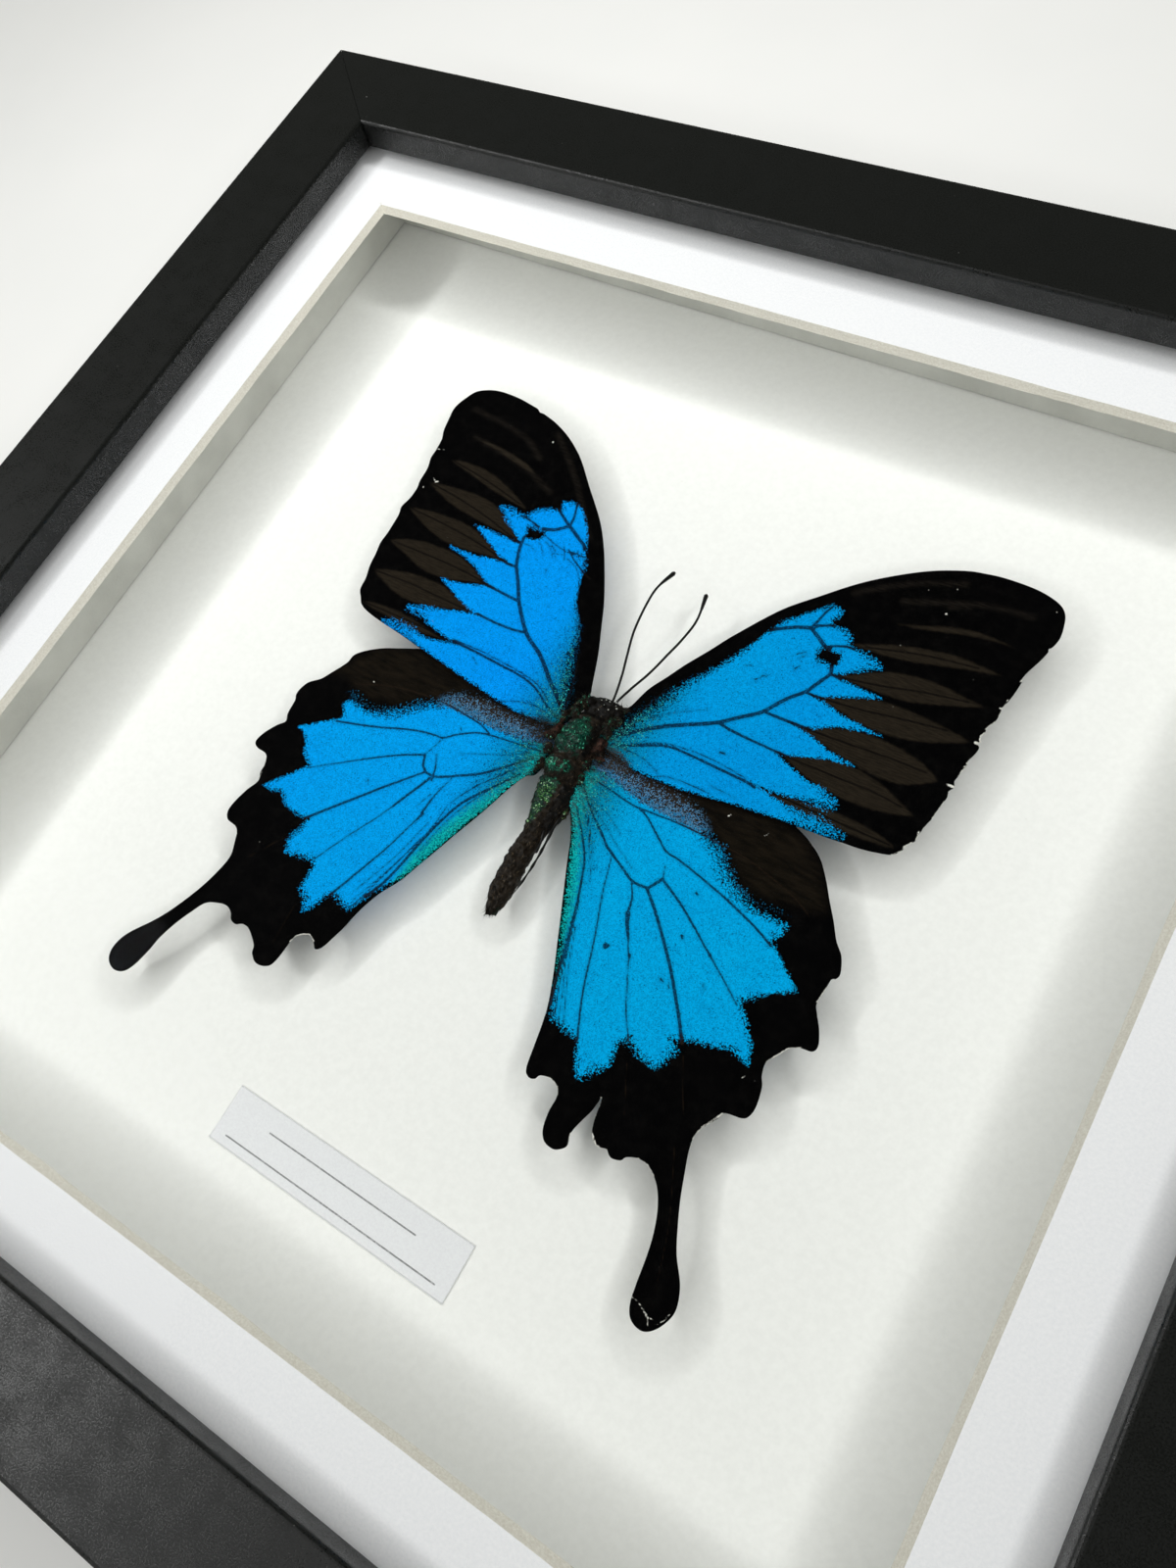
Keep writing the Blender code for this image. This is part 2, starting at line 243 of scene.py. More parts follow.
board = Finish("mat_board", Roughness=0.86, Specular_IOR_Level=0.25)
fibres = board.noise(2.2, 5.0, rough=0.7)
board.set("Base Color", board.blend(board.step(fibres, 0.25, 0.8), tint(239, 239, 241), tint(249, 248, 249)))
board.bump(fibres, 0.03)
core = Finish("cream_core", Roughness=0.9, Specular_IOR_Level=0.2)
pulp = core.noise(3.0, 5.0, rough=0.75)
laid = core.noise(1.0, 3.0, place=core.stretched(0.35, 0.35, 9.0))
core_colour = core.blend(core.step(pulp, 0.3, 0.75), tint(218, 212, 198), tint(246, 243, 233))
core.set("Base Color", core.blend(core.times(laid, 0.5), core_colour, tint(200, 194, 180)))
core.bump(core.plus(pulp, laid), 0.09)

low, high = in_mm("window_mat")
side_steps = 96
corners, faces = [], []
square = []
for (ax, ay), (bx, by) in zip(((-1, -1), (1, -1), (1, 1), (-1, 1)), ((1, -1), (1, 1), (-1, 1), (-1, -1))):
    for step in range(side_steps):
        share = step / side_steps
        square.append((ax + (bx - ax) * share, ay + (by - ay) * share))
square = np.array(square)
around = len(square)
cut_top = slow_waves(around, 0.12, 3)
cut_foot = slow_waves(around, 0.2, 4, 0.2)
rings = (
    (high[0], 0.0, (0.0, 0.0), low[2]),
    (high[0], 0.0, (0.0, 0.0), high[2]),
    (WINDOW_HALF + 0.35, cut_top, WINDOW_CENTRE, high[2]),
    (WINDOW_HALF, cut_top, WINDOW_CENTRE, high[2] - 0.06),
    (
        WINDOW_HALF - 0.5 * BEVEL_WIDTH, 0.5 * (cut_top + cut_foot), WINDOW_CENTRE,
        (low[2] + high[2]) / 2 - 0.04
    ),
    (WINDOW_HALF - BEVEL_WIDTH, cut_foot, WINDOW_CENTRE, low[2] + 0.02),
    (WINDOW_HALF - BEVEL_WIDTH + 0.2, cut_foot, WINDOW_CENTRE, low[2]),
)
for half, waver, centre, height in rings:
    reach = (half + np.asarray(waver) * np.ones(around))[:, None]
    flat = square * reach + np.array(centre)
    corners += [(x, y, height) for x, y in flat]
for ring in range(len(rings)):
    first, second = ring * around, (ring + 1) % len(rings) * around
    for i in range(around):
        j = (i + 1) % around
        faces.append((first + i, first + j, second + j, second + i))
mat = make_piece("mat_with_window", corners, faces, (board, core), smooth=False)
for polygon in mat.data.polygons:
    polygon.material_index = int(3 * around <= polygon.index < 6 * around)
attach(mat, "root")
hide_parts("window_mat")

# The knife ran a little past each corner: a short hair-thin cut in the face of the mat.
corners, faces = [], []
for sx in (-1, 1):
    for sy in (-1, 1):
        x = WINDOW_CENTRE[0] + sx * (WINDOW_HALF + 0.2)
        y = WINDOW_CENTRE[1] + sy * (WINDOW_HALF + 0.2)
        for along, length in (((sx, 0), 1.6), ((0, sy), 2.4)):
            across = np.array((-along[1], along[0], 0.0)) * 0.045
            start = np.array((x, y, high[2] + 0.006)) - np.array((*along, 0.0)) * 0.3
            end = start + np.array((*along, 0.0)) * length
            first = len(corners)
            corners += [start - across, start + across, end]
            corners += [p - np.array((0, 0, 0.02)) for p in (start - across, start + across, end)]
            faces += [(first + 1, first, first + 2), (first + 3, first + 4, first + 5)]
            faces += [(first, first + 1, first + 4, first + 3), (first + 1, first + 2, first + 5, first + 4)]
            faces += [(first + 2, first, first + 3, first + 5)]
cuts = make_piece("over_cuts", corners, faces, (core,), smooth=False)
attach(cuts, "root")

# ---------------------------------------------------------------------------------------------------------
# The spacers: four strips of white foam board standing on edge, which hold the mat off the backing.
# Their cut faces are matt and a little grey, with fine cells and a few darker specks.
# ---------------------------------------------------------------------------------------------------------

foam = Finish("foam_board", Roughness=0.9, Specular_IOR_Level=0.2)
bubbles = foam.cells(1.6)
cloud = foam.noise(0.08, 4.0)
foam_colour = foam.blend(foam.step(cloud, 0.3, 0.7), tint(212, 212, 205), tint(228, 228, 221))
foam.set("Base Color", foam.blend(foam.specks(0.3, 0.2, 0.12), foam_colour, tint(170, 168, 160)))
foam.bump(bubbles, 0.03)
for side in ("top", "bottom", "left", "right"):
    dress("spacer_" + side, foam)

# ---------------------------------------------------------------------------------------------------------
# The backing board: warm white card behind the specimen, with faint mottling and a few grey specks.
# ---------------------------------------------------------------------------------------------------------

card = Finish("backing_card", Roughness=0.88, Specular_IOR_Level=0.2)
mottle = card.noise(0.9, 6.0, rough=0.7)
card_colour = card.blend(card.step(mottle, 0.3, 0.75), tint(248, 248, 244), tint(254, 254, 250))
spots = card.sum("MAXIMUM", card.specks(0.06, 0.5, 0.16), card.specks(0.16, 0.12, 0.1))
card.set("Base Color", card.blend(card.times(spots, 0.55), card_colour, tint(150, 140, 120)))
dress("backing_board", card)

# ---------------------------------------------------------------------------------------------------------
# The label: a slip of thin paper with a printed hairline border and two ruled lines, glued on by its middle.
# Nothing is written on it, and its corners lift a little.
# ---------------------------------------------------------------------------------------------------------
LABEL_CENTRE = (1.7, -75.1)
LABEL_SIZE = (48.0, 9.6)
LABEL_TURN = math.radians(-0.8)
# Half the length of each ruled line, and its height above the label's middle.
RULED_LINES = ((15.0, 1.1), (21.5, -3.1))

paper = Finish("label_paper", Roughness=0.75, Specular_IOR_Level=0.25)
weave = paper.noise(2.5, 5.0, rough=0.7)
paper_colour = paper.blend(paper.step(weave, 0.3, 0.7), tint(234, 234, 236), tint(241, 242, 243))
ink = paper.step(paper.attribute("ruling"), 0.17, 0.09)
ink = paper.times(ink, paper.step(paper.noise(5.0, 2.0), 0.25, 0.6, 0.35, 0.8))
paper.set("Base Color", paper.blend(ink, paper_colour, tint(58, 58, 60)))
paper.bump(weave, 0.015)

low, high = in_mm("label")
columns, rows = 240, 64
across = np.linspace(-0.5, 0.5, columns + 1) * LABEL_SIZE[0]
up = np.linspace(-0.5, 0.5, rows + 1) * LABEL_SIZE[1]
flat_x, flat_y = (grid.ravel() for grid in np.meshgrid(across, up))
reach = np.hypot(flat_x / LABEL_SIZE[0] * 2, flat_y / LABEL_SIZE[1] * 0.9)
lift = 0.35 * np.clip(reach - 0.85, 0, 1) ** 2 + 0.03 * np.sin(flat_x * 0.35) * np.cos(flat_y * 0.5)
place_x = LABEL_CENTRE[0] + flat_x * math.cos(LABEL_TURN) - flat_y * math.sin(LABEL_TURN)
place_y = LABEL_CENTRE[1] + flat_x * math.sin(LABEL_TURN) + flat_y * math.cos(LABEL_TURN)
border = np.minimum(
    np.abs(np.abs(flat_x) - LABEL_SIZE[0] / 2 + 0.12), np.abs(np.abs(flat_y) - LABEL_SIZE[1] / 2 + 0.12)
)
rulings = [
    np.hypot(np.clip(np.abs(flat_x) - half, 0, None), flat_y - height) for half, height in RULED_LINES
]
ruling = np.minimum(border + 0.09, np.minimum(*rulings))
corners, faces = [], []
for depth in (0.12, 0.0):
    corners += list(zip(place_x, place_y, low[2] + 0.02 + lift + depth))
sheet_count = len(flat_x)
for row in range(rows):
    for column in range(columns):
        a = row * (columns + 1) + column
        quad = (a, a + 1, a + columns + 2, a + columns + 1)
        faces.append(quad)
        faces.append(tuple(sheet_count + k for k in reversed(quad)))
rim = [*range(columns), *range(columns, sheet_count - 1, columns + 1)]
rim += [
    *range(sheet_count - 1, sheet_count - 1 - columns, -1), *range(sheet_count - 1 - columns, 0, -columns - 1)
]
for a, b in zip(rim, rim[1:] + rim[:1]):
    faces.append((b, a, a + sheet_count, b + sheet_count))
label = make_piece("label_slip", corners, faces, (paper,))
label.data.attributes.new("ruling", "FLOAT", "POINT").data.foreach_set(
    "value", np.tile(ruling, 2).astype(np.float32)
)
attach(label, "root")
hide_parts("label")

# ---------------------------------------------------------------------------------------------------------
# The forewings: thin stiff membranes on branching veins, covered with scales. Blue fields of shining scales
# run out in teeth between velvet-black margins, with a felted brown brand in each space between the veins.
# ---------------------------------------------------------------------------------------------------------
WING_THICKNESS = 0.16
WING_GRAIN = 0.3

FORE_RIGHT = {
    "outline": (
        (3.2, 9.4), (3.6, 14.8), (5.2, 16.9), (6.5, 21.5), (8.25, 25), (10, 28.6), (12.5, 33), (15, 37.5),
        (20, 45), (25, 50.2), (30, 55.1), (35, 59), (40, 62.2), (45, 64.4), (48, 65.1), (51, 65.5),
        (55, 65.5), (58, 65.1), (60.75, 64.1), (62.25, 62.6), (62.9, 60.5), (63.2, 58), (62.8, 56),
        (62.3, 55.3), (62.5, 54.8), (62, 52.8), (61.1, 50.2), (60.7, 48.5), (60.9, 47.8), (60.6, 45),
        (60.1, 42.6), (59.8, 42.1), (60.1, 41.6), (59.9, 39.5), (59.2, 38.2), (59.3, 37.3), (59, 36.2),
        (59.4, 35.4), (58.9, 34.9), (59.5, 34.4), (59.4, 33.2), (58.9, 31.6), (59, 30.8), (58.6, 28.6),
        (58.4, 27.4), (58.8, 26.5), (58.3, 25.6), (58.5, 24.5), (58.1, 22), (57.9, 20.2), (57.6, 19.2),
        (57.2, 17), (57.2, 15.8), (56.6, 14.9), (56.2, 14.2), (56, 13.3), (54.9, 12), (52.5, 11.25),
        (50, 10.75), (47.5, 10.5), (45, 10.2), (40, 9.8), (35, 9.25), (30, 8.6), (25, 7.85), (20, 7.1),
        (15, 6.9), (11.5, 6.9), (9, 7.7), (5.75, 8.2),
    ),
    "field": (
        (5.0, 8.6), (9, 7.9), (11.5, 7.1), (15, 7.1), (20, 7.3), (25, 8.05), (30, 8.9), (35, 9.55),
        (38.5, 10.1), (43, 10.7), (47, 11.3), (42, 11.6), (38, 12.1), (35, 12.5), (33, 13), (30, 13.4),
        (34, 13.6), (38, 14.3), (40.5, 15), (43, 15.3), (43.6, 15.9), (41.6, 16.8), (41, 17.4), (38, 17.6),
        (36, 18.3), (34, 18.9), (32, 19.8), (31, 20.2), (33, 20.5), (34.5, 21), (36, 21.6), (38, 22.4),
        (40, 22.9), (43.4, 23.4), (40, 23.8), (38, 24.2), (36, 24.9), (34.5, 25.4), (32, 25.9),
        (30.5, 26.15), (33, 26.2), (35, 26.8), (36.5, 27.9), (38, 28.6), (40, 29.2), (42.5, 29.8), (45, 30),
        (42, 30.3), (38, 30.7), (35, 31.6), (33, 32), (31.5, 32.2), (33, 32.4), (34.5, 33.1), (36.5, 34),
        (38.5, 34.8), (40, 35.4), (42.2, 36.2), (40, 36.4), (37, 36.6), (34.5, 36.8), (33.2, 37.2),
        (35, 38), (37, 39.7), (38.5, 40.8), (40, 41.5), (37, 42.5), (35, 42.8), (33.6, 43.1), (32.9, 44.6),
        (31.8, 45.4), (30.5, 45.7), (29.2, 45.6), (28.8, 46.5), (29.4, 47.9), (29.6, 48.8), (28.6, 49.1),
        (27.4, 48.8), (26, 47.6), (24.3, 46), (22.8, 44.2), (21, 42.2), (20.6, 40.8), (19.7, 39.6),
        (18.4, 36.2), (16.6, 32.6), (14, 28.2), (12.6, 26.2), (11.4, 23.8), (10.4, 21.3), (9.6, 19.2),
        (8.4, 17.2), (7.2, 14.8), (6.2, 12.6), (5.2, 10.5),
    ),
    "spot": (
        (29.2, 40.2), (29.4, 38.8), (30.2, 38.3), (31.2, 38.6), (32.3, 38.1), (33.2, 38.9), (33.5, 40.3),
        (33.1, 41.4), (31.8, 41.2), (30.8, 41.6), (30, 41.2), (29.2, 41),
    ),
    # Where the scales thin out instead of ending at a line: place, reach and how wide they scatter.
    "thin": (
        (8, 15, 5, 1.5), (10, 21, 4, 1.1), (13, 26, 4, 0.5), (17, 33, 5, 0.3), (43, 11.2, 4, 1.3),
        (42, 16, 2.2, 0.6), (37.5, 42, 2.5, 0.7), (32, 45, 2, 0.6), (28, 48.5, 2, 0.45), (22, 43, 2, 0.45),
        (31, 40, 2, 0.25),
    ),
    "veins": (
        (0.55, 0.42, (6.3, 11.6), (8, 13), (10, 14.6), (12.5, 16.4), (15, 17.9), (18, 19.6), (20.3, 21),
         (23, 23.4), (25, 25), (26.3, 26.4), (27.5, 28.4), (29, 30.5), (30.7, 32.3), (31.6, 34.2),
         (32.5, 36), (33, 37), (32.6, 38.4)),
        (0.5, 0.45, (30.8, 41.2), (30, 41.4), (28.5, 42.4), (27.2, 43.2), (26.3, 43.8)),
        (0.5, 0.4, (26.3, 43.8), (24, 43), (22, 41.9), (20.3, 40.8)),
        (0.36, 0.25, (26.3, 43.8), (26.8, 45.8), (27.2, 47.5), (27.8, 49)),
        (0.45, 0.25, (26.3, 43.8), (27.3, 44.7), (28.6, 45.3), (29.8, 45.7)),
        (0.3, 0.3, (30.2, 41.5), (31.5, 42.2), (33, 42.8), (34.5, 42.9)),
        (0.36, 0.26, (20.3, 21), (22.5, 20.6), (26, 20.4), (30, 20.3), (33, 20.3)),
        (0.36, 0.36, (26.1, 26.1), (29, 26.1), (32, 26.2), (34.5, 26.2)),
        (0.36, 0.3, (30.8, 32.3), (32.5, 32.2), (34, 32.4)), (0.36, 0.3, (33, 37), (35, 36.9)),
        (0.24, 0.34, (6, 9.7), (7.5, 10.1), (10, 11.1), (12.5, 12.4), (15, 13.3), (18, 13.5), (22, 13.4),
         (26, 13.3), (29.5, 13.2), (31, 12.9)),
        (0.14, 0.12, (9, 10.9), (12.5, 12.9), (15, 13.8), (18, 14.2), (21, 14.35), (25, 14.2), (29, 13.7)),
        (0.14, 0.1, (6, 9.8), (9, 9.7), (12, 9.5), (14, 8.9), (15.6, 8.2)),
        (0.12, 0.1, (15.3, 7.3), (17, 8.2), (20, 8.6), (25, 8.7)), (0.08, 0.06, (24, 10.1), (29, 9.8)),
        (0.3, 0.14, (5.6, 10.4), (6.8, 14.6), (8, 19), (9.6, 23.4)),
        (0.2, 0.1, (6, 11), (7.8, 15), (9, 18)), (0.09, 0.05, (9.4, 17), (13, 19.6), (17.5, 22.4)),
        (0.16, 0.1, (26.3, 38.3), (27.6, 39.3)), (0.1, 0.06, (27, 37.8), (28, 38.7)),
        (0.2, 0.1, (22, 31), (23, 31.8)), (0.2, 0.1, (22.8, 32.1), (23.7, 32.4)),
        (0.14, 0.1, (19.5, 32.8), (20.2, 33.2)), (0.24, 0.12, (27.2, 35.6), (27.7, 36.3)),
        (0.28, 0.2, (23.1, 16.1), (24, 16.3)), (0.16, 0.1, (21, 13.7), (21.7, 13.4)),
    ),
    "brands": (
        ((30, 13.2), (34, 12.6), (38, 12.2), (43, 12.1), (48, 12.1), (52, 12.4), (55, 13), (53, 14.2),
         (49, 14.8), (45, 14.9), (41, 14.6), (38, 14.1), (34, 13.5)),
        ((32, 20.3), (36, 18.6), (39, 17.7), (43, 17.2), (47, 17.2), (51, 17.8), (55.5, 19.3), (53, 20.6),
         (50, 22), (46, 23), (42, 23.2), (38, 22.3), (34, 20.9)),
        ((31.5, 26.1), (36, 24.9), (40, 24), (44, 23.3), (48, 23), (51, 23.2), (53.5, 24.4), (56.3, 26.3),
         (54, 28), (51, 29), (47, 29.6), (43, 29.6), (39.5, 29), (36.5, 27.8), (34, 26.5)),
        ((33, 32.3), (37, 31.2), (41, 30.5), (45, 30.4), (49, 30.9), (53, 32.2), (58, 34.6), (54, 35.6),
         (50, 36), (46, 36.2), (42, 35.9), (39, 34.9), (36, 33.7)),
        ((33.5, 37), (38, 36.9), (43, 36.9), (47, 37.4), (52, 39), (57.5, 41.2), (55, 41.8), (50, 42.5),
         (46, 42.4), (42, 41.6), (39, 40.3), (36, 38.5)),
        ((33.5, 43.6), (37, 43.4), (42, 43.9), (47, 45), (52, 46.3), (58, 47.7), (54, 48.3), (50, 48.5),
         (46, 47.9), (41, 46.7), (37, 45.2)),
        ((38.5, 50), (43, 50.6), (48, 51.9), (53, 53), (58, 53.3), (54, 54), (50, 53.9), (46, 52.9),
         (42, 51.4)),
    ),
    "brand_lines": (
        ((30, 13.3), (42, 13.3), (54, 13.3)), ((32, 20.2), (40, 20.3), (48, 20.5), (53, 20)),
        ((34, 26.2), (40, 26.5), (48, 27), (54, 27)), ((34, 32.4), (40, 33), (47, 34.2), (54, 35.2)),
        ((34, 37), (41, 38.3), (48, 40), (55, 41.2)), ((36, 44), (45, 46.3), (54, 47.6)),
    ),
    # White fringe left in the nicks of the margin, then settled dust: a width, and the line or place.
    "pale": (
        (0.5, (58.7, 34.95), (59.5, 34.9)), (0.34, (59.3, 35.4), (58.95, 36.2), (59.25, 37)),
        (0.24, (59.1, 37.6), (59.9, 39.6)), (0.4, (57.9, 26.5), (58.9, 26.5)),
        (0.28, (58.4, 25.4), (58.7, 24.4)), (0.28, (57, 17.3), (57.3, 15.4)),
        (0.36, (56.8, 15.1), (56, 13.8)), (0.3, (59.7, 42.1), (60.1, 42.2)),
        (0.26, (60.9, 48.6), (60.7, 47.9)), (0.22, (62.6, 55.4), (62.4, 54.8)),
        (0.26, (59.1, 32), (58.8, 30.4), (58.7, 28)), (0.2, (58.4, 23.6), (57.9, 20)),
        (0.2, (57.8, 19.4), (57.4, 18)), (0.18, (56, 13.2), (54.9, 12)), (0.2, (60.1, 40.6), (60.2, 44)),
        (0.42, (45.3, 55.1)), (0.3, (45, 60.3)), (0.24, (40.9, 58.4)), (0.2, (54, 45.3)),
        (0.26, (61, 62.4)), (0.14, (44.6, 35.7)), (0.16, (52, 35)), (0.12, (50.2, 61.5)),
        (0.14, (41, 46.6)), (0.12, (43.6, 30.1), (44.4, 30.1)), (0.1, (57, 26.4), (58, 26.6)),
    ),
    # Lines where the black apex is painted a lighter brown: painted sheen.
    "sheen_lines": (((45.5, 56.7), (48.2, 58.1)), ((30, 53), (38, 58.4), (46, 61.8)),
    ((38, 54.6), (50, 59), (58, 60))),
}
FORE_LEFT = {
    "outline": (
        (-3.4, 9.6), (-2.6, 13), (-2.25, 16.25), (-2.9, 18.25), (-5, 24), (-7, 28.5), (-9.5, 34),
        (-12.5, 39.5), (-15.5, 44.5), (-19, 49.25), (-24.5, 55), (-29, 59.75), (-32, 62.25), (-35, 64.25),
        (-38.5, 66), (-42, 67.15), (-43, 67.2), (-43.8, 67.8), (-45, 68.1), (-49, 68.85), (-53.25, 69),
        (-56, 68.4), (-58.25, 67.1), (-59.4, 65), (-60.1, 63), (-60.3, 61.25), (-59.9, 59), (-59.25, 56),
        (-58.35, 53.75), (-58, 51), (-57.9, 49), (-57.15, 46.5), (-56.95, 43.5), (-56.5, 41.5), (-56.6, 39),
        (-57.1, 36.75), (-56.6, 34.75), (-56.4, 30.5), (-56.5, 28), (-56, 25.5), (-55.6, 22.75),
        (-54.75, 20), (-54.4, 17.6), (-53.25, 16), (-52, 14.65), (-49.5, 13.75), (-45.5, 13), (-41.5, 12.4),
        (-36, 11.4), (-31, 10.5), (-26, 9.5), (-20, 8.5), (-16, 7.85), (-11.5, 7.6), (-7.5, 7.75),
        (-5.75, 8),
    ),
    "field": (
        (-5, 8.3), (-9, 8), (-13, 7.9), (-18, 8.5), (-22, 9.2), (-27, 10), (-32, 10.9), (-36, 11.7),
        (-38, 12.1), (-41, 12.7), (-46, 13.5), (-42, 13.8), (-39, 13.9), (-36.5, 13.6), (-33, 14.3),
        (-31, 14.6), (-29.5, 15.1), (-33, 15.6), (-35.5, 16), (-37.5, 16.6), (-39.5, 17.6), (-43.2, 18.1),
        (-41, 18.9), (-39.5, 19.4), (-37.5, 20), (-35, 20.7), (-33, 21.4), (-31, 21.8), (-29, 22.1),
        (-31, 22.3), (-33.5, 23), (-36, 24), (-38, 25), (-40.7, 26), (-38, 26.3), (-36, 26.8), (-34, 27.4),
        (-32, 28), (-30, 28.3), (-32, 28.7), (-34, 29.8), (-36, 30.9), (-38.5, 31.9), (-41, 32.4),
        (-43, 32.9), (-40, 32.9), (-37, 33), (-34, 33.6), (-31, 33.9), (-29.5, 34.1), (-31, 34.4),
        (-33, 34.9), (-35, 36), (-37.5, 37.2), (-39.5, 38.4), (-40.8, 38.95), (-38, 39), (-35, 38.8),
        (-32, 38.7), (-30.8, 38.8), (-31.5, 39.8), (-33.5, 40.9), (-35, 41.9), (-36.5, 43.4), (-38.3, 44.6),
        (-36, 44.6), (-33.5, 44), (-31.9, 44.3), (-32.2, 45.2), (-31, 46.5), (-29, 47.6), (-27, 47.9),
        (-26.6, 48.4), (-27.3, 50), (-26, 50.6), (-23.6, 50.3), (-22, 48.7), (-20.5, 46.9), (-19, 44.6),
        (-18.5, 42.9), (-18, 41), (-17, 39.6), (-16.2, 38), (-16, 36.3), (-15, 33.8), (-14.2, 31.5),
        (-13.2, 30.2), (-12, 28.6), (-10.8, 26.6), (-10.2, 24.3), (-9.4, 21.5), (-8.4, 18.8), (-7.2, 16.2),
        (-6.2, 13.6), (-5.2, 11), (-4.6, 9.6),
    ),
    "spot": (
        (-27.1, 43), (-27.1, 41.2), (-28.5, 40.5), (-30.2, 40.3), (-30.8, 41.6), (-31.4, 42.5), (-30, 43.1),
        (-28.6, 42.9),
    ),
    "thin": (
        (-6.6, 15, 5, 1.5), (-8.8, 21, 4, 0.9), (-11, 27, 4, 0.4), (-42.5, 13.2, 4, 1.1),
        (-40, 19, 2.4, 0.45), (-35.5, 44.3, 2.5, 0.8), (-30.5, 46.5, 2, 0.45), (-26, 50, 2, 0.35),
        (-18, 40, 2.5, 0.5), (-29.5, 43.4, 1.5, 0.4),
    ),
    "veins": (
        (0.55, 0.42, (-5.2, 11.6), (-8, 14), (-10, 15.5), (-12.5, 17.8), (-15, 19.8), (-17.5, 21.2),
         (-19.5, 22.6), (-22, 25.2), (-24.2, 27.8), (-25.5, 29.8), (-27, 32), (-28.5, 34), (-29.5, 36.3),
         (-30.2, 38.4), (-30.5, 40.4)),
        (0.5, 0.45, (-28, 43.3), (-26, 43.9), (-24.5, 45), (-23.6, 45.8)),
        (0.5, 0.4, (-23.6, 45.8), (-22, 44.9), (-20.5, 44), (-19, 43.2), (-18.4, 42.4)),
        (0.36, 0.25, (-23.6, 45.8), (-23.7, 47.5), (-24.2, 49.3), (-24.7, 50.6)),
        (0.45, 0.3, (-23.6, 45.8), (-24.8, 46.5), (-26.2, 47.4), (-27.6, 48.4)),
        (0.3, 0.2, (-29, 43.3), (-31, 43.9), (-33, 44.2)),
        (0.32, 0.3, (-19.5, 22.4), (-22, 22), (-26, 21.9), (-30, 22.2)),
        (0.36, 0.36, (-24.3, 27.7), (-27, 27.9), (-30, 28.2), (-33, 28.5)),
        (0.36, 0.3, (-28.6, 34), (-30.5, 33.9), (-32, 34.3)), (0.36, 0.3, (-30.3, 38.9), (-33, 38.9)),
        (0.24, 0.34, (-5.4, 9.9), (-8, 11), (-10.5, 12.6), (-13, 13.7), (-16, 14.3), (-20, 14.6), (-25, 15),
         (-29, 15.2), (-31, 15.3)),
        (0.16, 0.12, (-8.4, 12), (-10.5, 13.4), (-13, 14.4), (-17, 15), (-21, 15.35), (-26, 15.7),
         (-31, 15.7)),
        (0.16, 0.1, (-6, 9.4), (-8.5, 10), (-10.5, 10.2), (-13, 9.7), (-15, 8.9), (-16.5, 8.1)),
        (0.26, 0.14, (-4.6, 10.4), (-5.4, 14), (-6.4, 18), (-7.8, 22)),
        (0.2, 0.1, (-5, 11), (-6.8, 15), (-8, 18)),
        # Scratches where the scales were rubbed off near the costa.
        (0.16, 0.1, (-27, 42.2), (-24.5, 41.3), (-22, 40.7), (-19.5, 40.6)),
        (0.1, 0.06, (-26, 41), (-24.4, 40), (-23.2, 38.4)),
        (0.12, 0.06, (-24.8, 40.8), (-23.4, 40), (-22.6, 38.5)),
        (0.14, 0.08, (-22.4, 41.5), (-21.5, 40.3), (-20.8, 38.9)),
        (0.16, 0.24, (-21.2, 41.2), (-19.5, 39.9), (-17.5, 38.7), (-16, 37.9), (-14.4, 37.3)),
        (0.12, 0.1, (-20.4, 39.4), (-18, 38.4), (-16.6, 37)),
        (0.3, 0.14, (-20.8, 40.8), (-19.2, 41), (-18.2, 40.7)),
        (0.1, 0.05, (-30.5, 39.2), (-28.5, 39), (-27, 38.6)),
        (0.1, 0.06, (-27.2, 40.4), (-25.6, 39), (-25, 38.2)), (0.14, 0.06, (-19.4, 41.6), (-18.4, 39.8)),
        (0.12, 0.06, (-25.8, 14), (-24.3, 13)), (0.16, 0.1, (-22.9, 35.8), (-22.7, 35)),
        (0.1, 0.06, (-17.3, 40.4), (-16.4, 38.2)), (0.1, 0.06, (-23.4, 39.3), (-21.6, 39.9)),
    ),
    "brands": (
        ((-31, 15.2), (-35, 15.2), (-40, 16.2), (-45, 16.6), (-50, 16.3), (-52.5, 15.3), (-48, 14.6),
         (-43, 14.2), (-38, 14.1), (-34, 14.6)),
        ((-29, 22.1), (-33, 21.6), (-37, 20.3), (-41, 19.4), (-46, 19.2), (-50, 20.3), (-54.5, 22.3),
         (-51, 23.8), (-47, 24.8), (-43, 25), (-39, 24.9), (-35, 23.6)),
        ((-30, 28.3), (-34, 27.8), (-38, 26.6), (-42, 26), (-46, 26.2), (-50, 27.5), (-55, 29.3), (-52, 31),
         (-48, 31.9), (-44, 32.1), (-40, 31.8), (-36, 30.6), (-33, 29.2)),
        ((-31, 34.2), (-35, 33.8), (-39, 33.3), (-44, 33.1), (-48, 33.9), (-52, 35.4), (-55.5, 37.2),
         (-52, 38.2), (-47, 38.6), (-43, 38.6), (-39, 37.7), (-35, 35.9)),
        ((-31, 39), (-36, 39.4), (-41, 39.9), (-46, 40.6), (-50, 41.6), (-55, 43.8), (-52, 44.6), (-48, 45),
         (-44, 45.2), (-40, 44.6), (-36, 42.8), (-33, 40.6)),
        ((-33, 45.7), (-38, 46.3), (-43, 47.2), (-48, 48.5), (-54, 50.1), (-52, 50.9), (-48, 51.1),
         (-44, 50.6), (-40, 49.3), (-36, 47.6)),
        ((-36, 53.5), (-40, 54), (-46, 55.6), (-52, 56.6), (-48, 57), (-43, 56.3), (-38, 55)),
    ),
    "brand_lines": (
        ((-31, 15.3), (-42, 15.5), (-52, 15.4)), ((-29, 22.1), (-38, 22.3), (-46, 22.6), (-54, 22.3)),
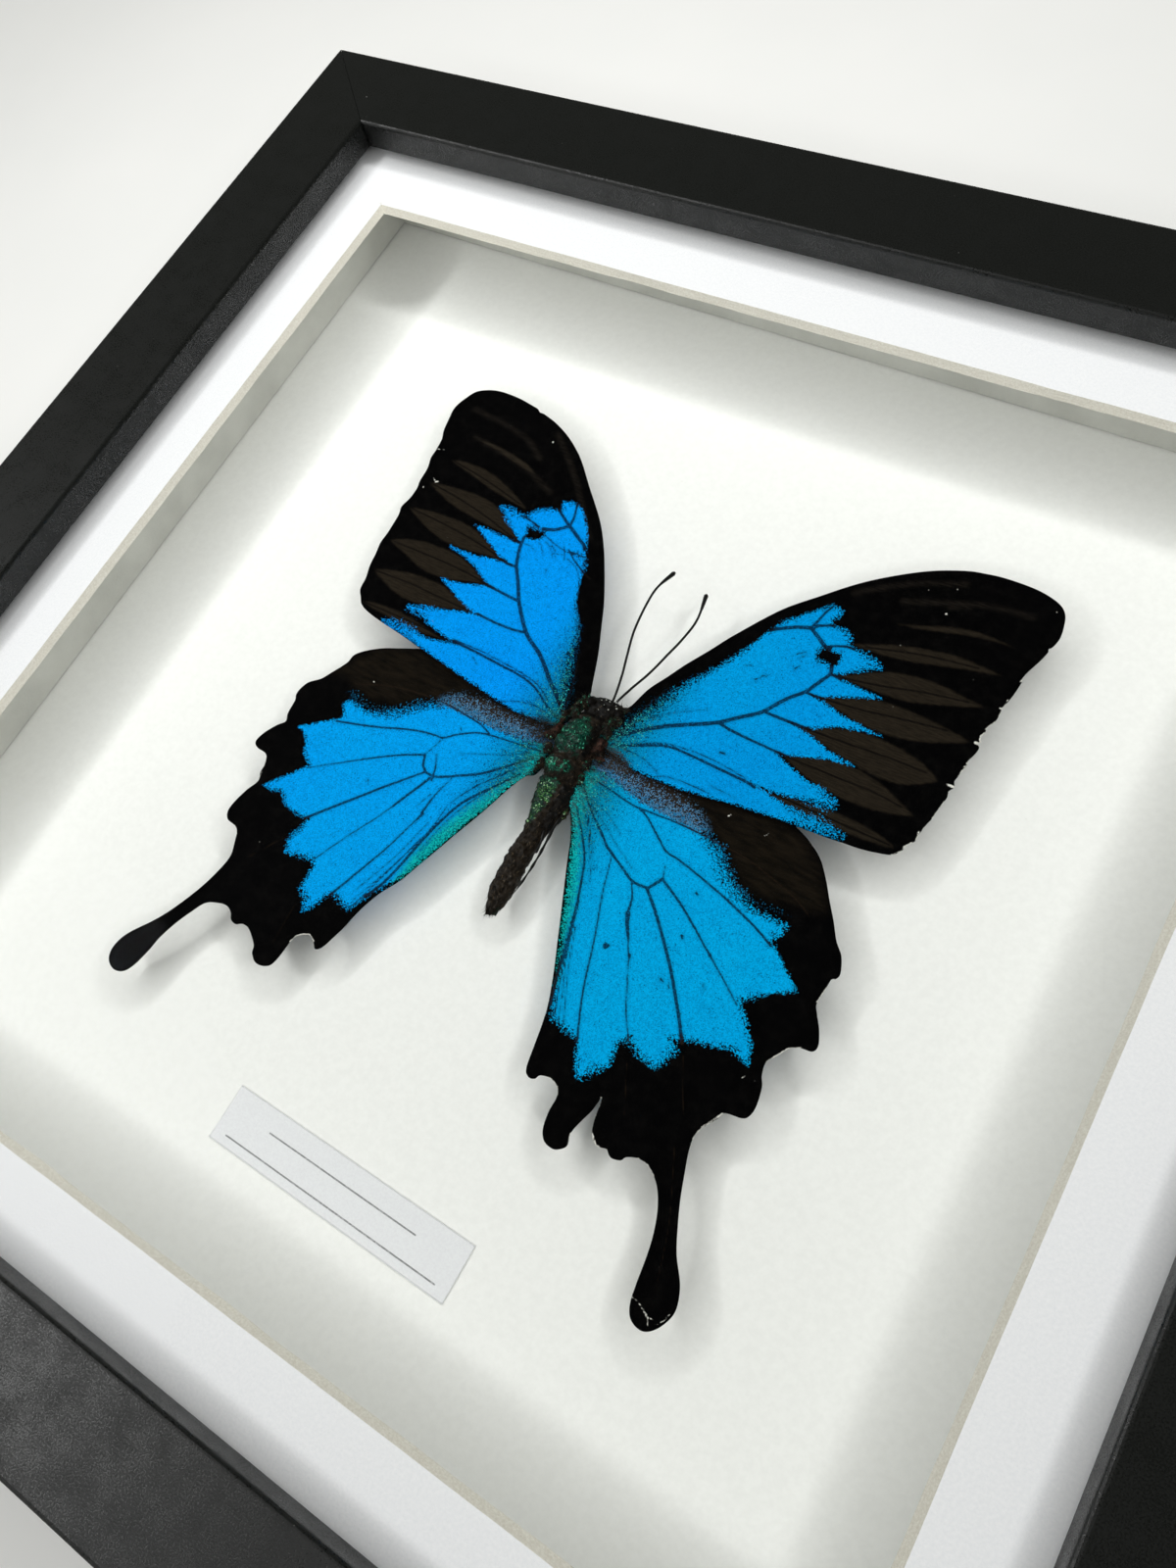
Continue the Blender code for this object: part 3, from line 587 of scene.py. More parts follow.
        ((-31, 28.4), (-38, 29.2), (-46, 29.4), (-54, 29.3)),
        ((-31, 34.2), (-38, 35.6), (-46, 36.6), (-55, 37.2)),
        ((-32, 39.2), (-40, 41.4), (-48, 43), (-55, 43.9)), ((-35, 46.4), (-44, 48.6), (-53, 50.2)),
    ),
    "pale": (
        (0.42, (-36.6, 61.6)), (0.2, (-44.6, 34.3)), (0.36, (-53.8, 44.4), (-53.4, 44.7)),
        (0.36, (-55.4, 42.4)), (0.16, (-54, 44.6), (-54.8, 45.1)), (0.16, (-46.8, 62.1)),
        (0.14, (-42.4, 24.2)), (0.16, (-39.2, 24.7)), (0.14, (-58.6, 51.2), (-56.4, 51.8)),
        (0.12, (-50, 51.4)), (0.12, (-37.2, 17.4), (-36.6, 17)), (0.12, (-52.2, 61.7)),
    ),
    # Lines where the black apex is painted a lighter brown: painted sheen.
    "sheen_lines": (
        ((-56, 63), (-48, 62), (-41.5, 60.2), (-37, 57.2)), ((-36.5, 63.6), (-28, 55.6), (-19, 45)),
        ((-52, 57), (-40, 54.6), (-31, 51)),
    ),
}


def curve_through(points, spacing, closed=True):
    """Points about spacing apart on a smooth curve through the given ones."""
    points = np.array(points, float)
    if closed:
        padded = np.concatenate([points[-1:], points, points[:2]])
    else:
        padded = np.concatenate([2 * points[:1] - points[1:2], points, 2 * points[-1:] - points[-2:-1]])
    found = []
    for before, start, end, after in zip(padded, padded[1:], padded[2:], padded[3:]):
        steps = max(1, round(float(np.hypot(*(end - start))) / spacing))
        for t in np.arange(steps) / steps:
            found.append(
                0.5 * (
                    2 * start
                    + (end - before) * t
                    + (2 * before - 5 * start + 4 * end - after) * t * t
                    + (3 * start - before - 3 * end + after) * t**3
                )
            )
    return np.array(found if closed else [*found, points[-1]])


def away_from(places, line, width_start=0.0, width_end=0.0):
    """How far each place is from a line that has some width: below 0 on the line itself."""
    line = np.array(line, float).reshape(-1, 2)
    if len(line) == 1:
        return np.hypot(*(places - line[0]).T) - width_start / 2
    nearest = np.full(len(places), 1e3)
    for number, (start, end) in enumerate(zip(line, line[1:])):
        along = end - start
        share = np.clip((places - start) @ along / max(along @ along, 1e-9), 0, 1)
        whole = (number + share) / (len(line) - 1)
        gap = np.hypot(*(places - start - share[:, None] * along).T)
        nearest = np.minimum(nearest, gap - (width_start + (width_end - width_start) * whole) / 2)
    return nearest


def within(places, loop):
    """How far each place is inside a closed outline: below 0 outside it."""
    loop = np.array(loop, float)
    gap = away_from(places, np.concatenate([loop, loop[:1]]))
    inside = np.zeros(len(places), bool)
    for (ax, ay), (bx, by) in zip(loop, np.roll(loop, -1, 0)):
        if ay == by:
            continue
        crosses = (ay > places[:, 1]) != (by > places[:, 1])
        inside ^= crosses & (places[:, 0] < ax + (places[:, 1] - ay) * (bx - ax) / (by - ay))
    return np.where(inside, gap, -gap)


def spread_plate(outline):
    """A close triangle mesh in an outline: places, triangles and how many places lie on the edge."""
    edge = curve_through(outline, WING_GRAIN)
    low, high = edge.min(0), edge.max(0)
    rows = np.arange(low[1], high[1], WING_GRAIN * 0.866)
    columns = np.arange(low[0], high[0], WING_GRAIN)
    grid = np.concatenate(
        [
            np.stack([columns + WING_GRAIN / 2 * (i % 2), np.full(len(columns), y)], 1)
            for i, y in enumerate(rows)
        ]
    )
    grid = grid[within(grid, edge) > WING_GRAIN * 0.55]
    places = np.concatenate([edge, grid])
    count = len(edge)
    found = delaunay_2d_cdt(
        [Vector(p) for p in places], [(i, (i + 1) % count) for i in range(count)], [], 1, 1e-6
    )
    return places, [tuple(f) for f in found[2]], count


def build_wing(name, marks, height_of, finish):
    """A wing cut to its outline, with a value at every place for each of its markings."""
    places, triangles, count = spread_plate(marks["outline"])
    veins = np.min([away_from(places, line, start, end) for start, end, *line in (
        (max(0.03, 1.4 * s - 0.06), max(0.03, 1.4 * e - 0.06), *curve_through(points, 1.2, closed=False))
        for s, e, *points in marks["veins"]
    )], axis=0)
    values = {"vein": veins, "rim": within(places, curve_through(marks["outline"], 0.8))}
    values["field"] = within(places, marks["field"])
    if "spot" in marks:
        values["field"] = np.minimum(values["field"], -within(places, marks["spot"]))
    values["scatter"] = 0.5 + sum(
        1.7 * width * np.exp(-((places[:, 0] - x) ** 2 + (places[:, 1] - y) ** 2) / reach**2)
        for x, y, reach, width in marks["thin"]
    )
    for key in ("brands", "dusted", "bronze", "green"):
        if key in marks:
            values[key] = np.max([within(places, curve_through(loop, 1.5)) for loop in marks[key]], axis=0)
    for key in ("brand_lines", "sheen_lines"):
        if key in marks:
            lines = [curve_through(line, 1.5, closed=False) for line in marks[key]]
            values[key] = np.min([away_from(places, line) for line in lines], axis=0)
    values["pale"] = np.min([away_from(places, line, width, width) for width, *line in marks["pale"]], axis=0)
    relief = 0.07 * np.exp(-((np.clip(veins, 0, None) / 0.45) ** 2))
    upper = height_of(places) + relief
    low = in_mm("backing_board")[1][2]
    corners = np.concatenate(
        [np.c_[places, low + upper], np.c_[places, low + upper - WING_THICKNESS - relief]]
    )
    total = len(places)
    faces = [*triangles, *((c + total, b + total, a + total) for a, b, c in triangles)]
    turn = sum(
        ax * by - bx * ay for (ax, ay), (bx, by) in zip(places[:count], np.roll(places[:count], -1, 0))
    )
    for i in range(count):
        j = (i + 1) % count
        faces.append((i, i + total, j + total, j) if turn > 0 else (j, j + total, i + total, i))
    wing = make_piece(name, corners, faces, (finish,))
    for key, value in values.items():
        layer = wing.data.attributes.new(key, "FLOAT", "POINT")
        layer.data.foreach_set("value", np.tile(value, 2).astype(np.float32))
    return wing


def scale_finish(name, near_blue, far_blue, root_green, turn):
    """Scales on a wing: blue where the field is and black round it, with ragged borders between."""
    made = Finish(name, Roughness=0.7, Specular_IOR_Level=0.02)
    rows = made.noise(1.0, 2.0, place=made.stretched(9.0, 3.5, 6.0, turn))
    single = made.cells(6.5, give="Color")
    random_scale = made.red_of(single)
    rough_line = made.plus(made.times(made.noise(2.6, 3.0, rough=0.7), 0.6), made.times(random_scale, 0.4))
    shift = made.times(made.minus(rough_line, 0.5), made.times(made.attribute("scatter"), 3.6))
    field = made.step(made.plus(made.attribute("field"), shift), -0.04, 0.05)
    made.rows, made.random_scale, made.field = rows, random_scale, field
    made.ragged = rough_line
    across = made.noise(0.045, 2.0)
    blue = made.blend(across, near_blue, far_blue)
    side = made.step(made.sum("ABSOLUTE", made.axis("X")), 4.0, 17.0)
    blue = made.blend(side, root_green, blue)
    weave = made.plus(made.times(rows, 0.6), made.times(random_scale, 0.4))
    grain_dark = made.blend(made.step(weave, 0.22, 0.66), (0.5, 0.6, 0.68, 1.0), (1.16, 1.13, 1.1, 1.0))
    worn = made.noise(0.5, 5.0, place=made.stretched(0.5, 1.6, 1.0, turn * 0.4), rough=0.7)
    grain_dark = made.blend(made.step(worn, 0.54, 0.9), grain_dark, (0.55, 0.64, 0.7, 1.0))
    rubbed = made.times(made.minus(1.0, side), 0.26)
    lost = made.plus(made.plus(random_scale, rubbed), made.times(worn, 0.24))
    lost = made.sum("GREATER_THAN", lost, 1.11)
    grain_dark = made.blend(lost, grain_dark, (0.12, 0.2, 0.26, 1.0))
    made.blue = made.blend(1.0, blue, grain_dark, "MULTIPLY")
    made.night = made.blend(
        made.step(made.noise(0.5, 5.0, rough=0.7), 0.4, 0.8), (0.0008, 0.0008, 0.0009, 1.0),
        (0.0032, 0.003, 0.0028, 1.0)
    )
    return made


def finish_scales(made, colour, line_blue, line_dark):
    """Lays the veins, the dust and the fringe over a wing's ground colours, and raises the scale rows."""
    wobble = made.times(made.minus(made.noise(3.0, 2.0), 0.5), 0.16)
    vein = made.step(made.plus(made.attribute("vein"), wobble), 0.1, -0.01)
    vein_colour = made.blend(made.field, line_dark, line_blue)
    beside = made.times(made.step(made.attribute("vein"), 0.5, 0.02), made.step(made.ragged, 0.46, 0.66))
    colour = made.blend(made.times(beside, made.times(made.field, 0.55)), colour, line_blue)
    worn_through = made.step(made.ragged, 0.3, 0.44, 0.5, 0.94)
    colour = made.blend(made.times(vein, worn_through), colour, vein_colour)
    pale = made.step(
        made.plus(made.attribute("pale"), made.times(made.minus(made.noise(4.0, 2.0), 0.5), 0.3)), 0.04, -0.05
    )
    colour = made.blend(pale, colour, tint(222, 220, 212))
    lint = made.specks(0.32, 0.12, 0.1)
    made.set("Base Color", made.blend(made.times(lint, 0.25), colour, tint(150, 145, 138)))
    made.bump(made.plus(made.times(made.rows, 0.7), made.random_scale), 0.012)


def fore_scales(name, near_blue, far_blue, root_green, turn):
    made = scale_finish(name, near_blue, far_blue, root_green, turn)
    felt_ends = made.plus(made.attribute("brands"), made.times(made.minus(made.noise(1.2, 3.0), 0.5), 0.5))
    felt = made.step(felt_ends, -0.1, 0.55)
    streak = made.noise(1.0, 4.0, place=made.stretched(0.5, 5.0, 1.0, turn * 0.3), rough=0.65)
    brand = made.blend(made.step(streak, 0.25, 0.75), tint(24, 21, 16), tint(43, 37, 29))
    middle = made.step(made.attribute("brand_lines"), 0.05, 0.28)
    brand = made.blend(middle, tint(13, 11, 9), brand)
    ground = made.blend(felt, made.night, brand)
    # Along the sheen lines the black turns a streaky lighter brown: painted sheen.
    painted_sheen = made.times(made.step(made.attribute("sheen_lines"), 1.1, 0.0), made.step(streak, 0.3, 0.8))
    ground = made.blend(made.times(painted_sheen, 0.5), ground, tint(48, 43, 37))
    colour = made.blend(made.field, ground, made.blue)
    finish_scales(made, colour, (0.002, 0.014, 0.04, 1.0), tint(19, 16, 13))
    return made


# Each side gets its own blues, more cyan on the right and deeper on the left: painted iridescence, the colour
# shift that shining scales show with the angle of light.
fore_right = fore_scales(
    "forewing_scales_right", tint(0, 146, 226), tint(0, 160, 224), tint(6, 118, 134), -24.0
)
fore_left = fore_scales("forewing_scales_left", tint(0, 146, 246), tint(0, 156, 240), tint(6, 118, 140), 24.0)


def fore_height(places):
    """Nearly flat, with the tip a little higher than the root."""
    out = np.abs(places[:, 0])
    return 7.62 + 0.25 * np.sin(places[:, 1] * 0.11 + out * 0.05) + 0.3 * np.clip((out - 45) / 18, 0, 1) ** 2


for name, marks, finish in (("right", FORE_RIGHT, fore_right), ("left", FORE_LEFT, fore_left)):
    wing = build_wing(f"{name}_forewing", marks, fore_height, finish)
    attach(wing, "root")
    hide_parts("forewing_" + name)

# ---------------------------------------------------------------------------------------------------------
# The hindwings: broad, scalloped and tailed, set just under the forewings. The front margin is brown with a
# bronze cast, thinly dusted with lilac scales at its root; the inner margin turns from blue to turquoise.
# ---------------------------------------------------------------------------------------------------------

HIND_RIGHT = {
    "outline": (
        (3.3, -0.5), (3.1, 5), (6, 9.6), (24, 11.8), (36, 11), (40.8, 9.6), (43.3, 8.3), (45.6, 6.6),
        (47.8, 3.9), (49.7, 1.1), (51.7, -1.7), (53.3, -4.2), (55, -6.1), (56, -8.6), (55.7, -9.7),
        (55.2, -10), (55.1, -12.2), (54.9, -14.4), (55.6, -15.8), (56.9, -17.8), (57.8, -20), (57.4, -21.2),
        (55.6, -21.6), (54.2, -22.5), (53.1, -24.4), (52.2, -25.8), (52.5, -27.8), (53.3, -29.4),
        (53.8, -32.2), (53.6, -33.9), (52.8, -34.8), (50.3, -35.4), (49.7, -36.7), (48.4, -38.9),
        (47.9, -40.6), (48.2, -42.8), (49.2, -46.1), (50.3, -49.4), (51.7, -52.8), (53.3, -56.1),
        (55.6, -59.4), (56.6, -62.5), (56, -65), (54.7, -66.8), (53.3, -67.3), (51.7, -66.7), (50.7, -65),
        (50.2, -62.2), (49.8, -58.9), (49.2, -55.6), (48.1, -52.2), (46.7, -49.7), (45.3, -48.3),
        (43.9, -47.5), (42.2, -47.4), (40.6, -48.1), (40.1, -48.9), (38.6, -49.3), (37.5, -48.6),
        (36.4, -48.9), (35.4, -48.7), (34.4, -47.5), (33.8, -45.6), (33.5, -43.6), (33.2, -42.3),
        (33, -43.6), (32.8, -45), (32.2, -46.9), (31.7, -49.2), (32.1, -51.1), (31.1, -52.3), (30, -52.6),
        (28.6, -52.2), (27.6, -50.8), (27.1, -48.3), (27.1, -45.8), (26.4, -44.4), (24.7, -43.8),
        (23.1, -44.2), (22.7, -45), (21.7, -45.3), (20.7, -44.3), (20, -40.6), (19.4, -37.2), (18.6, -33.9),
        (16.9, -29.4), (15, -25), (13.1, -20.6), (11.4, -16.7), (9.7, -12.8), (7.8, -8.3), (6.1, -5.3),
        (4.6, -3.0),
    ),
    "field": (
        (4, 4.6), (8, 4.2), (12, 3.3), (15, 2.6), (19, 2.4), (24, 2.2), (27, 1.8), (29, 1.1), (30.6, 0.3),
        (32, -1.3), (33.4, -2.8), (35, -3.9), (37, -5), (40, -5.9), (43, -5.6), (45.6, -5.7), (45, -7.4),
        (44.6, -9), (46.5, -10.2), (49, -12.2), (51.4, -14.2), (48.5, -16), (46, -18), (44.4, -19.4),
        (47, -22), (49, -24.5), (50, -27.4), (47, -26.3), (43, -27.7), (39.5, -28.5), (38.2, -29.6),
        (39.4, -31), (38.2, -34.5), (35, -34), (32.6, -32.4), (31.2, -34), (31.7, -38), (30, -39.4),
        (28.6, -41.6), (27, -39.5), (25.6, -36.6), (23.4, -36.1), (20.2, -35.4), (19.2, -33.4),
        (17.7, -29.5), (15.7, -25), (13.8, -20.6), (12.2, -16.7), (10.4, -12.8), (8.4, -8.3), (6.7, -5.3),
        (4.6, -2.7),
    ),
    "thin": (
        (30, 0, 4, 0.7), (34, -3.5, 4, 0.9), (39, -5.5, 4, 0.5), (45, -6.5, 2, 0.5), (45.5, -18.5, 3, 0.3),
        (47, -27, 4, 0.35), (38.5, -31, 4, 0.6), (34, -33.5, 3, 0.45), (29.5, -40, 3, 0.6),
        (22, -36, 3, 0.45), (18, -31, 4, 0.3), (13, -20, 9, 0.2), (7, 3.5, 3, 0.7),
    ),
    "veins": (
        (0.2, 0.26, (5, 3), (8, 2.6), (10, 2.3), (13, 1.7), (15.5, 1.5), (17.5, 0.8), (19.5, -0.6),
         (21.5, -2), (23, -3.1), (26, -3.6), (30, -4.5), (34, -5.5), (38, -6.8), (42, -8.2), (45, -9.6)),
        (0.22, 0.12, (15.5, 1.6), (18, 1.8), (21, 2), (25, 2.05), (30, 1.9), (35, 1.6), (40, 0.5), (45, -1),
         (48, -2.6)),
        (0.2, 0.34, (5, 1), (7, -1), (9, -2.8), (12, -5), (14, -6.8), (15.5, -7.6), (18, -8.8), (20.2, -10),
         (21, -10.2), (23.5, -10), (24.2, -8.8), (24.9, -7.5)),
        (0.18, 0.1, (24.9, -7.5), (24.5, -6.3), (24.2, -5.5)),
        (0.3, 0.14, (24.9, -7.6), (28, -9.2), (30, -10.3), (33.5, -12.6), (37, -15), (41, -17.7),
         (44.5, -20.2)),
        (0.34, 0.36, (23.5, -10.2), (26, -12.5), (28, -14.5), (30.5, -17.2), (33, -20), (35.5, -23.2),
         (38, -26.5), (40, -29.4)),
        (0.14, 0.3, (20.6, -10.2), (22, -12.5), (22.6, -15)),
        (0.56, 0.3, (22.7, -15.2), (23.5, -16.9), (24.8, -18.9)),
        (0.12, 0.16, (24.8, -18.9), (25.4, -20), (26.5, -22), (28, -25), (30, -29), (32.6, -33)),
        (0.14, 0.24, (15.5, -7.7), (16.2, -10), (17, -13), (18.2, -16.5), (19.5, -20), (20.8, -24),
         (22, -28), (23.5, -32), (25.7, -37)),
        (0.2, 0.34, (6, -3), (8, -5.3), (10, -7.8), (11.8, -10.5), (13.3, -14.2), (14.6, -18), (15.8, -22),
         (16.8, -26), (17.6, -29.5), (19, -34)),
        (0.1, 0.14, (14.6, -17), (16.2, -22.5), (17.8, -28), (20.4, -35)),
        (0.08, 0.1, (15.2, -19), (17.4, -26), (19.8, -31.5), (21.4, -35.6)),
        (0.08, 0.08, (14.9, -20), (16.4, -26), (18.4, -32.5)),
        (0.08, 0.1, (16.2, -21), (18.6, -27.5), (22.4, -35.6)),
        (0.14, 0.08, (9.6, -3.2), (12.4, -5.6), (16, -7.6)),
        (0.1, 0.06, (8, -1.4), (11, -3), (15, -5.6), (19.6, -8.2)),
        (0.12, 0.06, (6, 0), (9, -1), (12, -2), (15, -4)), (0.16, 0.1, (6.4, 4.4), (9, 5.4), (12, 5.8)),
        (0.12, 0.1, (6.4, -1.6), (9.6, -5.4), (12.6, -10)),
        (0.1, 0.06, (8.4, -3.2), (12, -8.4), (14.6, -13.6)), (0.7, 0.4, (22.2, -21.6), (22.5, -21.4)),
        (0.3, 0.16, (26.2, -21), (26.6, -22)), (0.3, 0.2, (30.8, -7.2), (31.2, -7.4)),
        (0.34, 0.2, (32.1, -14.5), (32.4, -14.9)), (0.4, 0.16, (37.3, -15.2), (37.7, -15.5)),
        (0.24, 0.14, (32.4, -22.2), (33, -22.4)), (0.2, 0.1, (34, -22.5), (34.3, -22.9)),
        (0.14, 0.06, (38.6, -19.8), (39, -20.6)), (0.12, 0.08, (41, -31), (45, -38.5)),
        (0.1, 0.06, (34, -36), (37.5, -43)), (0.1, 0.06, (46, -43), (50.4, -53), (53, -62)),
    ),
    "dusted": (
        ((3, 8.4), (10, 8.8), (17, 8.2), (22, 6.6), (25, 5), (27, 3.2), (26.6, 2), (19, 2.2), (12, 3),
         (4, 4.2)),
    ),
    "bronze": (
        ((6, 11), (24, 12.6), (40, 10.2), (46, 6.4), (50.6, 0.4), (50, -1.8), (46, -2.6), (41, -3.6),
         (37, -3.4), (33, -0.4), (29, 2.2), (22, 3.2), (8, 4.4)),
    ),
    "green": (
        ((2, 5.4), (2, -3), (9, -13.6), (12, -21), (15, -29), (18.2, -31), (16.4, -24), (14.2, -17),
         (12, -12), (9, -7), (7, -2), (6.4, 2.4), (5.4, 4)),
    ),
    "pale": (
        (0.2, (22.9, -44.9), (23.4, -44.2), (24.7, -43.75), (26.3, -44.2), (27, -45.4)),
        (0.34, (34.5, -47.7), (35.6, -48.8), (36.6, -48.95), (37.6, -48.7)),
        (0.22, (40.4, -48.7), (42.2, -47.4), (43.9, -47.5), (45.4, -48.4)),
        (0.18, (33.1, -42.4), (33.4, -43.6), (33.7, -45.6)),
        (0.26, (50, -35.6), (49.4, -37), (48.2, -39), (47.9, -41)),
        (0.3, (55.7, -21.6), (54.2, -22.5), (53, -24.5), (52.3, -25.7)),
        (0.28, (55.5, -9.9), (55.1, -12.2), (54.9, -14.2)), (0.16, (31.7, -49.2), (32, -50.9)),
        (0.13, (50.5, -64.2), (51.6, -64.3), (53.4, -65.1), (54.2, -66.2)),
        (0.1, (52.8, -64.9), (53.4, -65.3), (54.4, -65.2)),
        (0.12, (56.2, -62.9), (55.9, -64.4), (55, -65.6)), (0.16, (50.4, -29.2), (50.2, -29.6)),
        (0.2, (52, -29)), (0.14, (50.4, -30.8)), (0.2, (29.2, 6.9), (29.7, 7.4)),
        (0.16, (35.9, 6.2), (36.5, 7.2)), (0.14, (41.2, 1.4)), (0.1, (51.9, -10.2)),
    ),
}
